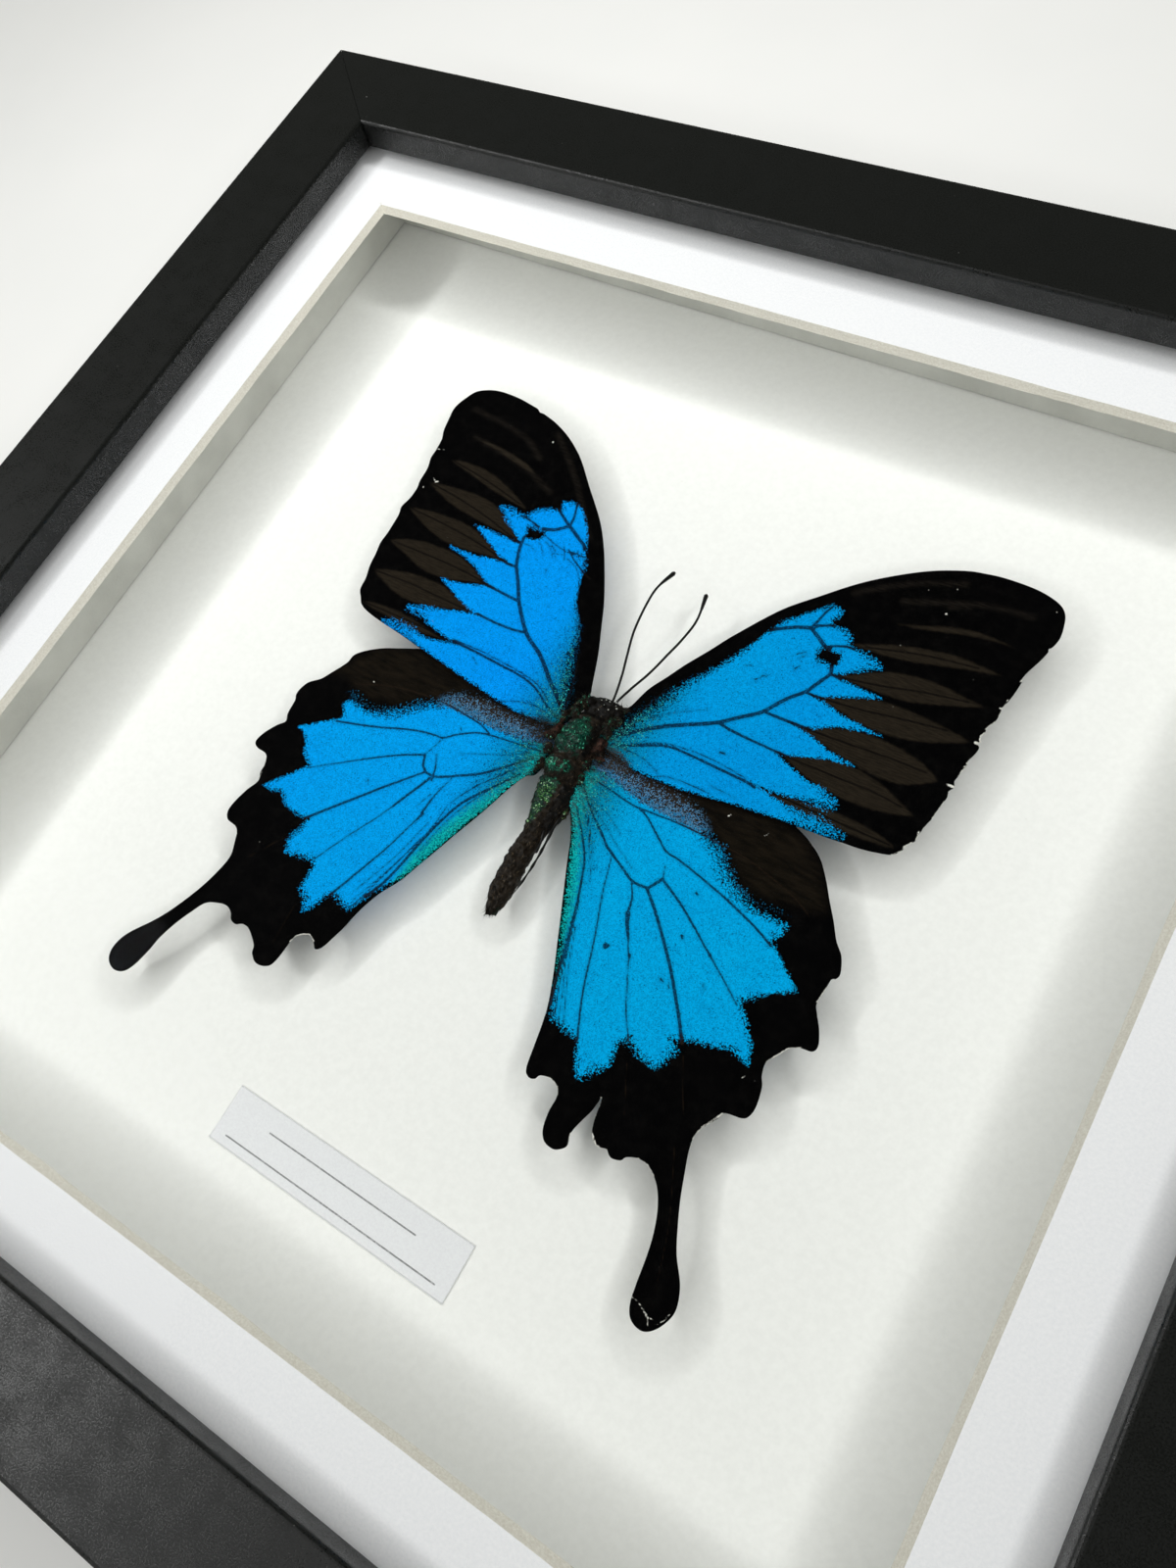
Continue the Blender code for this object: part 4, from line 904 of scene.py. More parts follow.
HIND_LEFT = {
    "outline": (
        (-3.4, -0.4), (-3.2, 5), (-6, 9.6), (-22, 12.6), (-34, 12.2), (-37.8, 11.1), (-40.6, 9.9),
        (-43.3, 8.6), (-46.1, 6.6), (-47.5, 5), (-47.8, 3.1), (-49.4, 0.1), (-50.6, -1.9), (-52.5, -3.6),
        (-53.2, -5.6), (-53.1, -6.9), (-52.6, -7.8), (-52.3, -10.6), (-51.7, -12.2), (-52.8, -13.6),
        (-54.2, -16.1), (-54.6, -18.1), (-53.6, -19), (-51.4, -19.3), (-50.4, -20.8), (-50.1, -22.8),
        (-49.4, -24.4), (-50.3, -26.7), (-51, -29.4), (-51.1, -31.7), (-50.1, -33.1), (-48.1, -33.5),
        (-47.1, -34.2), (-46.1, -36.4), (-45.4, -38.6), (-45.7, -41.7), (-46.5, -45), (-47.7, -48.3),
        (-49.2, -51.7), (-51.1, -55), (-53.1, -57.8), (-54.3, -60), (-54.7, -62.5), (-53.9, -64.4),
        (-51.9, -65.3), (-50, -64.7), (-48.9, -62.8), (-48.2, -59.4), (-47.9, -56.7), (-46.9, -53.3),
        (-45.6, -50.3), (-44.2, -47.8), (-42.2, -46.7), (-40.3, -46.3), (-38.9, -46.9), (-38.1, -47.9),
        (-36.9, -48.2), (-35.8, -47.6), (-34.4, -47.6), (-32.8, -48.5), (-31.4, -49.7), (-30.8, -51),
        (-29.2, -52), (-27.2, -51.4), (-26.4, -49.7), (-26, -45.8), (-25.3, -44.4), (-23.6, -43.5),
        (-22.2, -44.2), (-21.3, -45), (-20.4, -44.2), (-19.7, -42.2), (-18.9, -39.4), (-18.1, -35.6),
        (-16.7, -31.7), (-14.7, -28.1), (-13.3, -24.4), (-11.9, -20.6), (-10.3, -16.1), (-8.3, -10.8),
        (-6.4, -5), (-5, -1.9),
    ),
    "field": (
        (-4, 4.8), (-8, 4), (-12, 3.5), (-16, 3.4), (-20, 3.6), (-24, 3.5), (-26, 3), (-27.8, 2.2),
        (-29.5, 1), (-31, -0.3), (-32.5, -1.5), (-34.5, -2.8), (-36.5, -3.6), (-38.5, -4.1), (-41, -3.6),
        (-42.5, -3.1), (-43.5, -4.3), (-42.5, -5.4), (-41.8, -6.6), (-42.8, -7.6), (-45.5, -9.5),
        (-48.7, -11.9), (-46.8, -12.6), (-45.2, -14.3), (-44.5, -15.9), (-41.9, -17.4), (-43.3, -19.2),
        (-45.5, -21.8), (-47.7, -24.5), (-46, -24.6), (-44, -23.9), (-43, -24.6), (-42, -25.8),
        (-39.5, -26.2), (-36, -26), (-36.3, -28.5), (-37.2, -30.5), (-36.3, -33.2), (-35, -32.8),
        (-33.5, -32.4), (-31.5, -31.8), (-30.2, -32.4), (-30, -35), (-29.8, -37.5), (-28, -38),
        (-27, -40.4), (-26, -38.6), (-25.2, -36.5), (-24, -35.4), (-22, -35.8), (-20.2, -36.3),
        (-19.4, -35), (-18.2, -32.5), (-16.2, -29.4), (-14.5, -26.9), (-13.2, -23.4), (-11.8, -19.5),
        (-10.3, -15), (-8.3, -9.8), (-6.6, -4.6), (-4.8, -1.4),
    ),
    "thin": (
        (-29, 1.6, 4, 0.6), (-34, -2.4, 4, 0.8), (-40, -3.8, 3, 0.4), (-43, -16, 3, 0.2),
        (-45, -24.2, 3, 0.25), (-37, -29, 4, 0.45), (-32, -32, 3, 0.45), (-28, -38.5, 3, 0.5),
        (-22, -36, 3, 0.5), (-7, 3.5, 3, 0.7), (-16, -30, 5, 0.2),
    ),
    "veins": (
        (0.2, 0.26, (-5, 3.4), (-8, 3), (-11, 2.6), (-14, 2.2), (-15.5, 2), (-17.5, 1.4), (-19, 0.6),
         (-21, -0.8), (-22.4, -2.1), (-23.5, -2.2), (-26, -2.6), (-30, -3.7), (-34, -5.2), (-38, -6.6),
         (-42.6, -7.9)),
        (0.22, 0.12, (-15, 2.2), (-17.5, 3.2), (-21, 3.6), (-25, 3.9), (-30, 3.8), (-35, 3), (-40, 1.6),
         (-44, 0)),
        (0.1, 0.14, (-22.4, -2.1), (-22.9, -4), (-23.6, -6.2)),
        (0.28, 0.34, (-23.6, -6.2), (-22.8, -8.2), (-21.6, -9.1), (-20, -9.2), (-18, -8.4), (-15.5, -6.9),
         (-12.5, -5), (-9.5, -2.2), (-7, 0.2), (-5.5, 1.6)),
        (0.16, 0.24, (-21.8, -5.2), (-20.6, -7.3), (-19.7, -10)),
        (0.26, 0.12, (-23.7, -6.3), (-27, -8), (-31, -10.4), (-35, -13), (-39, -15.8), (-42, -18)),
        (0.24, 0.34, (-21.9, -9.2), (-24, -11.5), (-27, -14.8), (-30.5, -19), (-33.5, -22.5),
         (-36.8, -26.4)),
        (0.34, 0.26, (-20.3, -9.8), (-21.2, -12), (-22.3, -14.5), (-23.5, -17.4)),
        (0.14, 0.16, (-23.5, -17.4), (-25.5, -21.5), (-28, -26), (-30.8, -31.8)),
        (0.1, 0.3, (-16.6, -8), (-17.6, -12), (-18, -16)), (0.34, 0.1, (-17.7, -16), (-18.6, -19)),
        (0.16, 0.28, (-18.6, -19), (-20, -24), (-22, -29.6), (-24.4, -36)),
        (0.12, 0.08, (-18.4, -12.2), (-19.4, -15)),
        (0.3, 0.34, (-6, -2), (-9, -6), (-12.5, -11), (-14.2, -16), (-15.2, -20.5), (-16.2, -26),
         (-17, -29.5), (-18.6, -33.4)),
        (0.14, 0.14, (-14.6, -13), (-15, -18), (-16.3, -23), (-17.6, -28), (-19.6, -35.4)),
        (0.1, 0.08, (-15.6, -20), (-17.4, -26.6), (-20.2, -34.8)),
        (0.1, 0.1, (-16, -17), (-17.8, -24.6), (-20.8, -33)),
        (0.2, 0.1, (-8, -2.4), (-12, -7.4), (-14.4, -12)),
        (0.14, 0.08, (-7, -3), (-10.6, -9), (-13, -14.6), (-14.6, -22)),
        (0.12, 0.06, (-6, -0.4), (-9.6, -3.6), (-13, -7.2)),
        (0.12, 0.06, (-7, 2), (-10, 0.2), (-14, -1.6), (-18, -3.4)),
        (0.14, 0.1, (-9.4, 7.4), (-8.4, 6), (-7.2, 4.4)), (0.2, 0.1, (-20.5, 1), (-20.2, 0.7)),
        (0.14, 0.08, (-30.4, -15), (-30.1, -15.3)), (0.12, 0.08, (-38, -31), (-42, -37)),
        (0.1, 0.06, (-45.8, -42), (-49, -52), (-52, -60)), (0.1, 0.06, (-29, -40), (-28.6, -48)),
    ),
    "dusted": (
        ((-3, 8.4), (-10, 8.8), (-17, 8.6), (-22, 7.4), (-25.4, 6), (-26.6, 4.4), (-26, 3.4), (-20, 3.4),
         (-12, 3.4), (-4, 4.4)),
    ),
    "bronze": (
        ((-6, 11), (-22, 13.4), (-37, 12), (-44, 8.6), (-48, 4), (-49.6, -0.6), (-46, -0.2), (-42, -1.8),
         (-37, -1.6), (-33, -0.2), (-29, 2.6), (-22, 4.2), (-8, 4.6)),
    ),
    "green": (
        ((-2, 5.4), (-2, -2), (-6, -8), (-9.6, -18), (-12.6, -26), (-15.4, -29.6), (-15.6, -24),
         (-13.8, -17), (-11, -11), (-8.4, -6), (-6.6, -2), (-6, 2.4), (-5.4, 4)),
    ),
    "pale": (
        (0.44, (-25.95, -46), (-25.5, -44.7), (-24.6, -43.9), (-23.6, -43.55), (-22.4, -44.1)),
        (0.16, (-52.3, -11), (-51.8, -12.4)), (0.16, (-50.3, -21), (-49.6, -24)),
        (0.2, (-48, -33.5), (-46.8, -34.6)), (0.12, (-45, -49.2), (-43.6, -47.4), (-41, -46.4)),
        (0.12, (-39.8, -46.5), (-38.3, -47.8)), (0.26, (-42, -33.9)), (0.16, (-41, 2.1), (-40.6, 1.9)),
        (0.2, (-48.4, -20.4)), (0.12, (-36.6, -42)), (0.12, (-47, -8)),
    ),
}


def hind_scales(name, near_blue, far_blue, root_green, turn):
    made = scale_finish(name, near_blue, far_blue, root_green, turn)
    streak = made.noise(0.8, 4.0, place=made.stretched(0.35, 1.6, 1.0, turn * 0.5), rough=0.6)
    brown = made.blend(made.step(streak, 0.25, 0.8), tint(10, 9, 7), tint(29, 24, 17))
    ground = made.blend(made.step(made.attribute("bronze"), -0.6, 2.4), made.night, brown)
    bare = made.step(made.attribute("dusted"), -0.3, 1.2)
    ground = made.blend(made.times(bare, 0.8), ground, tint(46, 39, 34))
    fine = made.add("ShaderNodeSeparateColor", Color=made.cells(5.6, give="Color")).outputs["Green"]
    share = made.plus(
        made.step(made.attribute("field"), -5.0, 0.0, 0.04, 0.72),
        made.times(made.minus(made.ragged, 0.5), 0.5)
    )
    sparse = made.times(made.sum("LESS_THAN", fine, share), made.step(made.attribute("dusted"), -1.6, 0.8))
    powder = made.blend(made.random_scale, tint(18, 96, 148), tint(104, 146, 176))
    ground = made.blend(made.times(sparse, 0.9), ground, powder)
    outer = made.times(
        made.sum("LESS_THAN", fine, made.step(made.attribute("field"), -2.6, 0.2, 0.0, 0.55)),
        made.step(made.attribute("bronze"), -1.5, 0.5)
    )
    ground = made.blend(
        made.times(outer, 0.85), ground, made.blend(made.random_scale, tint(0, 96, 150), tint(30, 126, 168))
    )
    turquoise = made.blend(
        made.step(made.plus(made.times(made.random_scale, 0.6), made.times(made.rows, 0.5)), 0.3, 0.75),
                           tint(0, 92, 108), tint(14, 186, 184))
    edge = made.plus(made.attribute("green"), made.times(made.minus(made.ragged, 0.5), 3.0))
    shine = made.blend(made.step(edge, -0.8, 1.3), made.blue, turquoise)
    colour = made.blend(made.field, ground, shine)
    finish_scales(made, colour, (0.002, 0.016, 0.045, 1.0), tint(33, 25, 18))
    return made


# Each side gets its own blues, more cyan on the right and deeper on the left: painted iridescence, the colour
# shift that shining scales show with the angle of light.
hind_right = hind_scales(
    "hindwing_scales_right", tint(0, 160, 228), tint(0, 172, 230), tint(4, 122, 140), -60.0
)
hind_left = hind_scales("hindwing_scales_left", tint(0, 154, 242), tint(0, 164, 236), tint(4, 124, 150), 60.0)


def hind_height(places):
    """Lying just under the forewing, gently pleated along the veins, with the inner edge turned down."""
    out = np.abs(places[:, 0])
    inner = np.clip((13.0 - 0.45 * (places[:, 1] + 16.0) - out) / 9.0, 0, 1)
    tail = np.clip((-48.0 - places[:, 1]) / 20.0, 0, 1)
    front = np.clip((places[:, 1] - 4.0) / 8.0, 0, 1)
    return (
        6.82 + 0.12 * np.sin(out * 0.55 + places[:, 1] * 0.2)
        - 0.5 * inner * inner + 0.5 * tail * tail - 0.15 * front
    )


for name, marks, finish in (("right", HIND_RIGHT, hind_right), ("left", HIND_LEFT, hind_left)):
    wing = build_wing(f"{name}_hindwing", marks, hind_height, finish)
    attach(wing, "root")
    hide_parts("hindwing_" + name)

# ---------------------------------------------------------------------------------------------------------
# The body: a dried head, thorax and abdomen in one. The thorax has a shield with a furrow behind it, two low
# lobes and a waist; the abdomen is ringed, leans a little to the right and ends in a ragged tip.
# ---------------------------------------------------------------------------------------------------------
# Rings along the body: y, left edge, right edge, middle height over the backing, half height.
BODY_RINGS = (
    (17.3, 0.2, 2.6, 6.5, 0.4), (17.0, -1.1, 3.9, 6.5, 1.1), (16.4, -1.9, 4.7, 6.4, 1.8),
    (15.2, -2.1, 4.6, 6.3, 2.3), (14.0, -2.3, 4.2, 6.2, 2.2), (13.0, -2.7, 3.9, 6.2, 2.3),
    (12.0, -2.7, 3.7, 6.3, 2.8), (10.0, -3.3, 3.9, 6.4, 3.4), (8.0, -3.5, 4.1, 6.5, 3.8),
    (6.0, -3.5, 4.1, 6.5, 3.8), (4.0, -3.4, 4.0, 6.4, 3.6), (2.0, -3.2, 4.0, 6.3, 3.5),
    (0.0, -2.9, 4.3, 6.1, 3.0), (-2.0, -2.7, 4.7, 6.0, 3.0), (-4.0, -2.3, 4.8, 5.9, 2.8),
    (-6.0, -1.7, 4.5, 5.8, 2.6), (-8.0, -1.1, 3.8, 5.7, 2.4), (-10.0, -0.8, 3.3, 5.6, 2.15),
    (-13.0, -1.0, 3.2, 5.5, 2.1), (-16.0, -1.0, 3.4, 5.4, 2.1), (-19.0, -1.0, 3.6, 5.3, 2.0),
    (-21.5, -0.8, 3.5, 5.15, 1.9), (-23.4, -0.2, 3.2, 5.0, 1.6), (-24.6, 0.4, 2.9, 4.9, 1.2),
    (-25.2, 0.8, 2.6, 4.9, 0.6),
)
BODY_SIDES = 72
BODY_STEP = 0.16
SHIELD = (
    (-2.9, 9), (-1.4, 10.6), (0.2, 12.2), (1.4, 10.6), (2.3, 8.4), (2.4, 6.2), (1, 4.9), (-1.6, 4.7),
    (-3.1, 6.2)
)
LOBES = (
    ((-2.9, 2.8), (-0.5, 2.9), (-0.2, 1.6), (-1, 0.7), (-2.7, 1)),
    ((0.3, 2.9), (1.9, 2.8), (2.4, 1.8), (1.4, 0.8), (0.2, 1.3))
)
SADDLE = (
    (-2.5, -0.7), (-0.4, -0.4), (1.7, -1.2), (1.6, -4.4), (0.8, -7.4), (-0.3, -9.2), (-1.2, -7.4), (-2, -4.4)
)


WAVES = 26


def lumps(places, size, seed):
    """A smooth random value at every place, mostly -1 to 1, in swells about size millimetres wide."""
    draws = np.random.default_rng(seed)
    total = np.zeros(len(places))
    for _ in range(WAVES):
        wave = draws.normal(size=3)
        wave *= 2 * math.pi / size * draws.uniform(0.6, 1.9) / np.linalg.norm(wave)
        total += np.sin(places @ wave + draws.uniform(0, 7))
    return total / math.sqrt(WAVES)


def skin(rings, sides):
    """The faces between rings of corners, with a cap at each end."""
    faces = []
    for ring in range(rings - 1):
        for i in range(sides):
            a, b = ring * sides + i, ring * sides + (i + 1) % sides
            faces.append((a, a + sides, b + sides, b))
    return [*faces, tuple(range(sides)), tuple(range((rings - 1) * sides, rings * sides))[::-1]]


def add_values(piece, **values):
    for key, value in values.items():
        layer = piece.data.attributes.new(key, "FLOAT", "POINT")
        layer.data.foreach_set("value", np.asarray(value, np.float32))


backing_top = in_mm("backing_board")[1][2]
table = np.array(BODY_RINGS)
stations = np.arange(BODY_RINGS[0][0], BODY_RINGS[-1][0], -BODY_STEP)
left, right, middle, half = (np.interp(-stations, -table[:, 0], table[:, column]) for column in range(1, 5))
angles = np.arange(BODY_SIDES) / BODY_SIDES * 2 * math.pi
flat = np.sign(np.cos(angles)) * np.abs(np.cos(angles)) ** 0.85
tall = np.sign(np.sin(angles)) * np.abs(np.sin(angles)) ** 0.9
body_x = ((left + right) / 2)[:, None] + ((right - left) / 2)[:, None] * flat
body_z = middle[:, None] + half[:, None] * tall
body_y = np.repeat(stations[:, None], BODY_SIDES, 1)
places = np.stack([body_x, body_y, body_z], -1).reshape(-1, 3)
flat_places = places[:, :2]
over = np.clip(np.tile(tall, len(stations)), 0, 1)
shield = within(flat_places, curve_through(SHIELD, 0.6))
lobes = np.maximum(*(within(flat_places, curve_through(loop, 0.4)) for loop in LOBES))
saddle = within(flat_places, curve_through(SADDLE, 0.6))
along = places[:, 1]
swell = 0.3 * np.clip(shield, -1, 1) + 0.35 * np.clip(lobes, -0.6, 0.6)
swell -= 0.55 * np.exp(-((along - 4.1) / 0.45) ** 2) + 0.6 * np.exp(-((along - 0.1) / 0.5) ** 2)
swell -= 0.5 * np.exp(-((along - 13.3) / 0.6) ** 2)
for ring in np.arange(-3.0, -24.0, -2.4):
    swell -= 0.16 * np.exp(-((along - ring) / 0.25) ** 2)
swell += 0.22 * lumps(places, 2.2, 11) + 0.16 * lumps(places, 0.9, 12) + 0.08 * lumps(places, 0.45, 13)
torn = np.clip((-22.6 - along) / 2.0, 0, 1)
places[:, 1] -= torn * (
    0.5 * lumps(places * (1, 0.1, 1), 1.1, 16) + 0.25 * lumps(places * (1, 0.1, 1), 0.5, 17)
)
centre = np.stack([np.repeat((left + right) / 2, BODY_SIDES), along, np.repeat(middle, BODY_SIDES)], -1)
outward = places - centre
outward /= np.maximum(np.linalg.norm(outward, axis=1), 0.2)[:, None]
places = places + outward * (swell * (0.35 + 0.65 * over))[:, None]
places[:, 2] += backing_top

cuticle = Finish("dried_cuticle", Roughness=0.62, Specular_IOR_Level=0.3)
patch = cuticle.noise(0.6, 5.0, rough=0.7)
hair_lines = cuticle.noise(1.0, 3.0, place=cuticle.stretched(5.0, 0.8, 5.0))
brown = cuticle.blend(
    cuticle.step(cuticle.plus(cuticle.times(patch, 0.5), cuticle.times(hair_lines, 0.5)), 0.3, 0.7),
                      tint(7, 6, 5), tint(46, 38, 29))
black = cuticle.blend(patch, tint(3, 3, 3), tint(17, 15, 13))
head_and_lobe = cuticle.step(cuticle.attribute("dark"), 0.2, 0.8)
skin_colour = cuticle.blend(head_and_lobe, brown, black)
ruddy = cuticle.step(cuticle.attribute("ruddy"), 0.1, 0.9)
skin_colour = cuticle.blend(ruddy, skin_colour, cuticle.blend(patch, tint(26, 17, 13), tint(82, 60, 47)))
metal = cuticle.blend(cuticle.step(cuticle.noise(1.6, 3.0), 0.34, 0.66), tint(2, 9, 8), tint(6, 58, 44))
cuticle.set(
    "Base Color", cuticle.blend(cuticle.step(cuticle.attribute("green"), -0.3, 0.5), skin_colour, metal)
)
cuticle.bump(cuticle.plus(patch, hair_lines), 0.08)

body = make_piece("body", places, skin(len(stations), BODY_SIDES), (cuticle,))
shield += 0.25 - 0.5 * np.clip((along - 9.8) / 3, 0, 1)
green = np.max([shield, lobes, saddle], axis=0) + 0.45 * lumps(places, 1.2, 18)
green = np.where(over > 0.1, green, -1.0)
dark = (
    np.clip((along - 12.0) / 0.8, 0, 1)
    + np.clip((places[:, 0] - 1.9) / 0.8, 0, 1) * (along < -0.4) * (along > -9)
)
dark += np.clip((places[:, 0] - 2.0) / 0.5, 0, 1) * np.clip((along - 4.6) / 0.8, 0, 1)
ruddy = (
    np.exp(-((np.abs(places[:, 0] - 0.3) - 3.9) / 0.7) ** 2)
    * np.clip(1 - np.abs(along - 4.2) / 6.0, 0, 1) * 1.6
)
fresh = 0.5 + 0.5 * lumps(places, 1.6, 14)
hairiness = np.clip(0.95 - 0.75 * (green > 0) - 0.35 * (along > 4), 0.05, 1) * (0.3 + 0.7 * fresh)
hairiness[over <= 0] *= 0.3
add_values(body, green=green, dark=np.clip(dark, 0, 1), ruddy=np.clip(ruddy, 0, 1), hairs=hairiness,
           flakes=np.clip(green * 1.3 + 0.1, 0.0, 1) * np.clip(0.45 + 0.7 * lumps(places, 1.0, 15), 0, 1))
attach(body, "root")
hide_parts("butterfly_body")

# ---------------------------------------------------------------------------------------------------------
# The wing bases: brown, crumpled shoulder lobes and stumps of muscle between the thorax and the wings.
# ---------------------------------------------------------------------------------------------------------

crumple = Finish("dry_shoulder", Roughness=0.7, Specular_IOR_Level=0.25)
fold = crumple.noise(1.1, 5.0, rough=0.75)
ruddy_part = crumple.times(
    crumple.step(crumple.axis("Y"), 5.4, 6.6), crumple.step(crumple.axis("Y"), 10.4, 9.2)
)
dry = crumple.blend(ruddy_part, tint(44, 35, 27), tint(98, 62, 50))
crumple.set("Base Color", crumple.blend(crumple.step(fold, 0.38, 0.72), tint(8, 7, 6), dry))
crumple.bump(fold, 0.15)
# Middle x and y, height over the backing, and half sizes along, across and up.
SHOULDERS = (
    (4.4, 8.2, 8.0, 0.85, 1.5, 0.95), (-4.0, 7.6, 8.0, 0.75, 1.6, 0.95), (3.9, 4.2, 7.7, 0.6, 1.0, 0.7),
    (-3.7, 4.2, 7.7, 0.6, 1.1, 0.7), (4.2, 1.6, 7.3, 0.55, 1.0, 0.6), (-3.6, 1.2, 7.3, 0.6, 1.2, 0.6),
    (3.7, 12.2, 7.7, 1.1, 1.8, 0.8), (-2.9, 12.4, 7.7, 1.0, 1.8, 0.8), (5.3, 6.3, 7.5, 0.9, 0.5, 0.4),
    (-5.2, 6.4, 7.5, 0.9, 0.5, 0.4), (4.9, -4.7, 6.8, 0.35, 1.0, 0.6), (4.7, 14.6, 7.5, 1.0, 2.1, 0.7),
    (-2.5, 14.6, 7.5, 1.0, 2.1, 0.7), (4.5, 10.6, 7.8, 0.55, 1.0, 0.6), (-4.1, 10.6, 7.8, 0.5, 1.0, 0.6),
)
corners, faces = [], []
lat, lon = 14, 22
for x, y, height, half_x, half_y, half_z in SHOULDERS:
    turns = np.arange(lon) / lon * 2 * math.pi
    bands = np.linspace(-0.99, 0.99, lat)
    ball = np.array(
        [
            (math.cos(t) * math.sqrt(1 - b * b), math.sin(t) * math.sqrt(1 - b * b), b)
            for b in bands for t in turns
        ]
    )
    centre = np.array((x, y, height + backing_top))
    rough = (
        1 + 0.3 * lumps(ball * (half_x, half_y, half_z) + centre, 1.3, 21)
        + 0.1 * lumps(ball + centre, 0.5, 22)
    )
    first = len(corners)
    corners += list(centre + ball * (half_x, half_y, half_z) * rough[:, None])
    faces += [tuple(first + k for k in reversed(face)) for face in skin(lat, lon)]
shoulders = make_piece("wing_bases", corners, faces, (crumple,))
upward = np.array([vertex.normal.z for vertex in shoulders.data.vertices])
lobe_places = np.array(corners)
add_values(shoulders, green=np.full(len(corners), -1.0), hairs=0.9 * (upward > -0.2),
           flakes=(upward > 0) * (np.abs(lobe_places[:, 1] - 8) > 1.9)
           * np.clip(0.2 + 0.5 * lumps(lobe_places, 1.2, 23), 0, 1))
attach(shoulders, "root")

# ---------------------------------------------------------------------------------------------------------
# The eyes and the pale dots of the head: two dark domes, and a few small white tufts round the antennae.
# ---------------------------------------------------------------------------------------------------------

lens = Finish("dark_eye", Roughness=0.5, Specular_IOR_Level=0.1)
facets = lens.cells(9.0)
lens.set("Base Color", lens.blend(lens.step(facets, 0.1, 0.6), tint(22, 17, 14), tint(9, 8, 8)))
lens.bump(facets, 0.02)
eye_shapes = ((-1.35, 15.3, 7.3, 1.0, 1.15, 1.15), (4.35, 15.1, 7.3, 1.0, 1.15, 1.15))
dots = (
    (0.9, 16.6, 0.16), (1.7, 16.5, 0.14), (2.7, 16.9, 0.17), (3.4, 15.8, 0.2), (2.3, 14.9, 0.15),
    (0.2, 16.2, 0.12), (-0.9, 15.9, 0.1), (3.0, 16.3, 0.1), (1.2, 15.4, 0.1), (4.3, 13.6, 0.12),
    (-1.9, 13.8, 0.12), (0.6, 14.3, 0.1)
)
tuft = Finish("white_tuft", Roughness=0.7, Specular_IOR_Level=0.3)
tuft.set("Base Color", tuft.blend(tuft.noise(6.0, 2.0), tint(120, 124, 118), tint(214, 218, 208)))


def domes(name, shapes, finish, lat, lon):
    """Closed egg shapes in one piece: middle x, y and height over the backing, then three half sizes."""
    corners, faces = [], []
    turns = np.arange(lon) / lon * 2 * math.pi
    bands = np.linspace(-0.995, 0.995, lat)
    ball = np.array(
        [
            (math.cos(t) * math.sqrt(1 - b * b), math.sin(t) * math.sqrt(1 - b * b), b)
            for b in bands for t in turns
        ]
    )
    for x, y, height, *half in shapes:
        first = len(corners)
        corners += list(np.array((x, y, height + backing_top)) + ball * half)
        faces += [tuple(first + k for k in reversed(face)) for face in skin(lat, lon)]
    piece = make_piece(name, corners, faces, (finish,))
    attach(piece, "root")
    return piece


def crown(x, y):
    """The height of the body's upper surface over a place, in millimetres over the backing."""
    gap = (places[:, 0] - x) ** 2 + (places[:, 1] - y) ** 2 - 0.4 * places[:, 2]
    return places[np.argmin(gap), 2] - backing_top


domes("eyes", eye_shapes, lens, 18, 28)
domes(
    "head_tufts",
    [(x, y, crown(x, y) + 0.06, size, size * 0.8, size * 0.6) for x, y, size in dots],
    tuft, 6, 8
)

# ---------------------------------------------------------------------------------------------------------
# Fur and loose scales: fine dark hairs lie back along the body and out over the wing roots, and small green
# and turquoise scales cover the thorax, the base of the abdomen and the wing roots.
# ---------------------------------------------------------------------------------------------------------
COVER_INPUTS = (
    ("Per Square Millimetre", "NodeSocketFloat"), ("Length", "NodeSocketFloat"), ("Width", "NodeSocketFloat"),
    ("Sides", "NodeSocketInt"), ("Along", "NodeSocketVector"), ("Lift", "NodeSocketFloat"),
    ("Unruly", "NodeSocketFloat"), ("Seed", "NodeSocketInt"), ("Finish", "NodeSocketMaterial"),
)


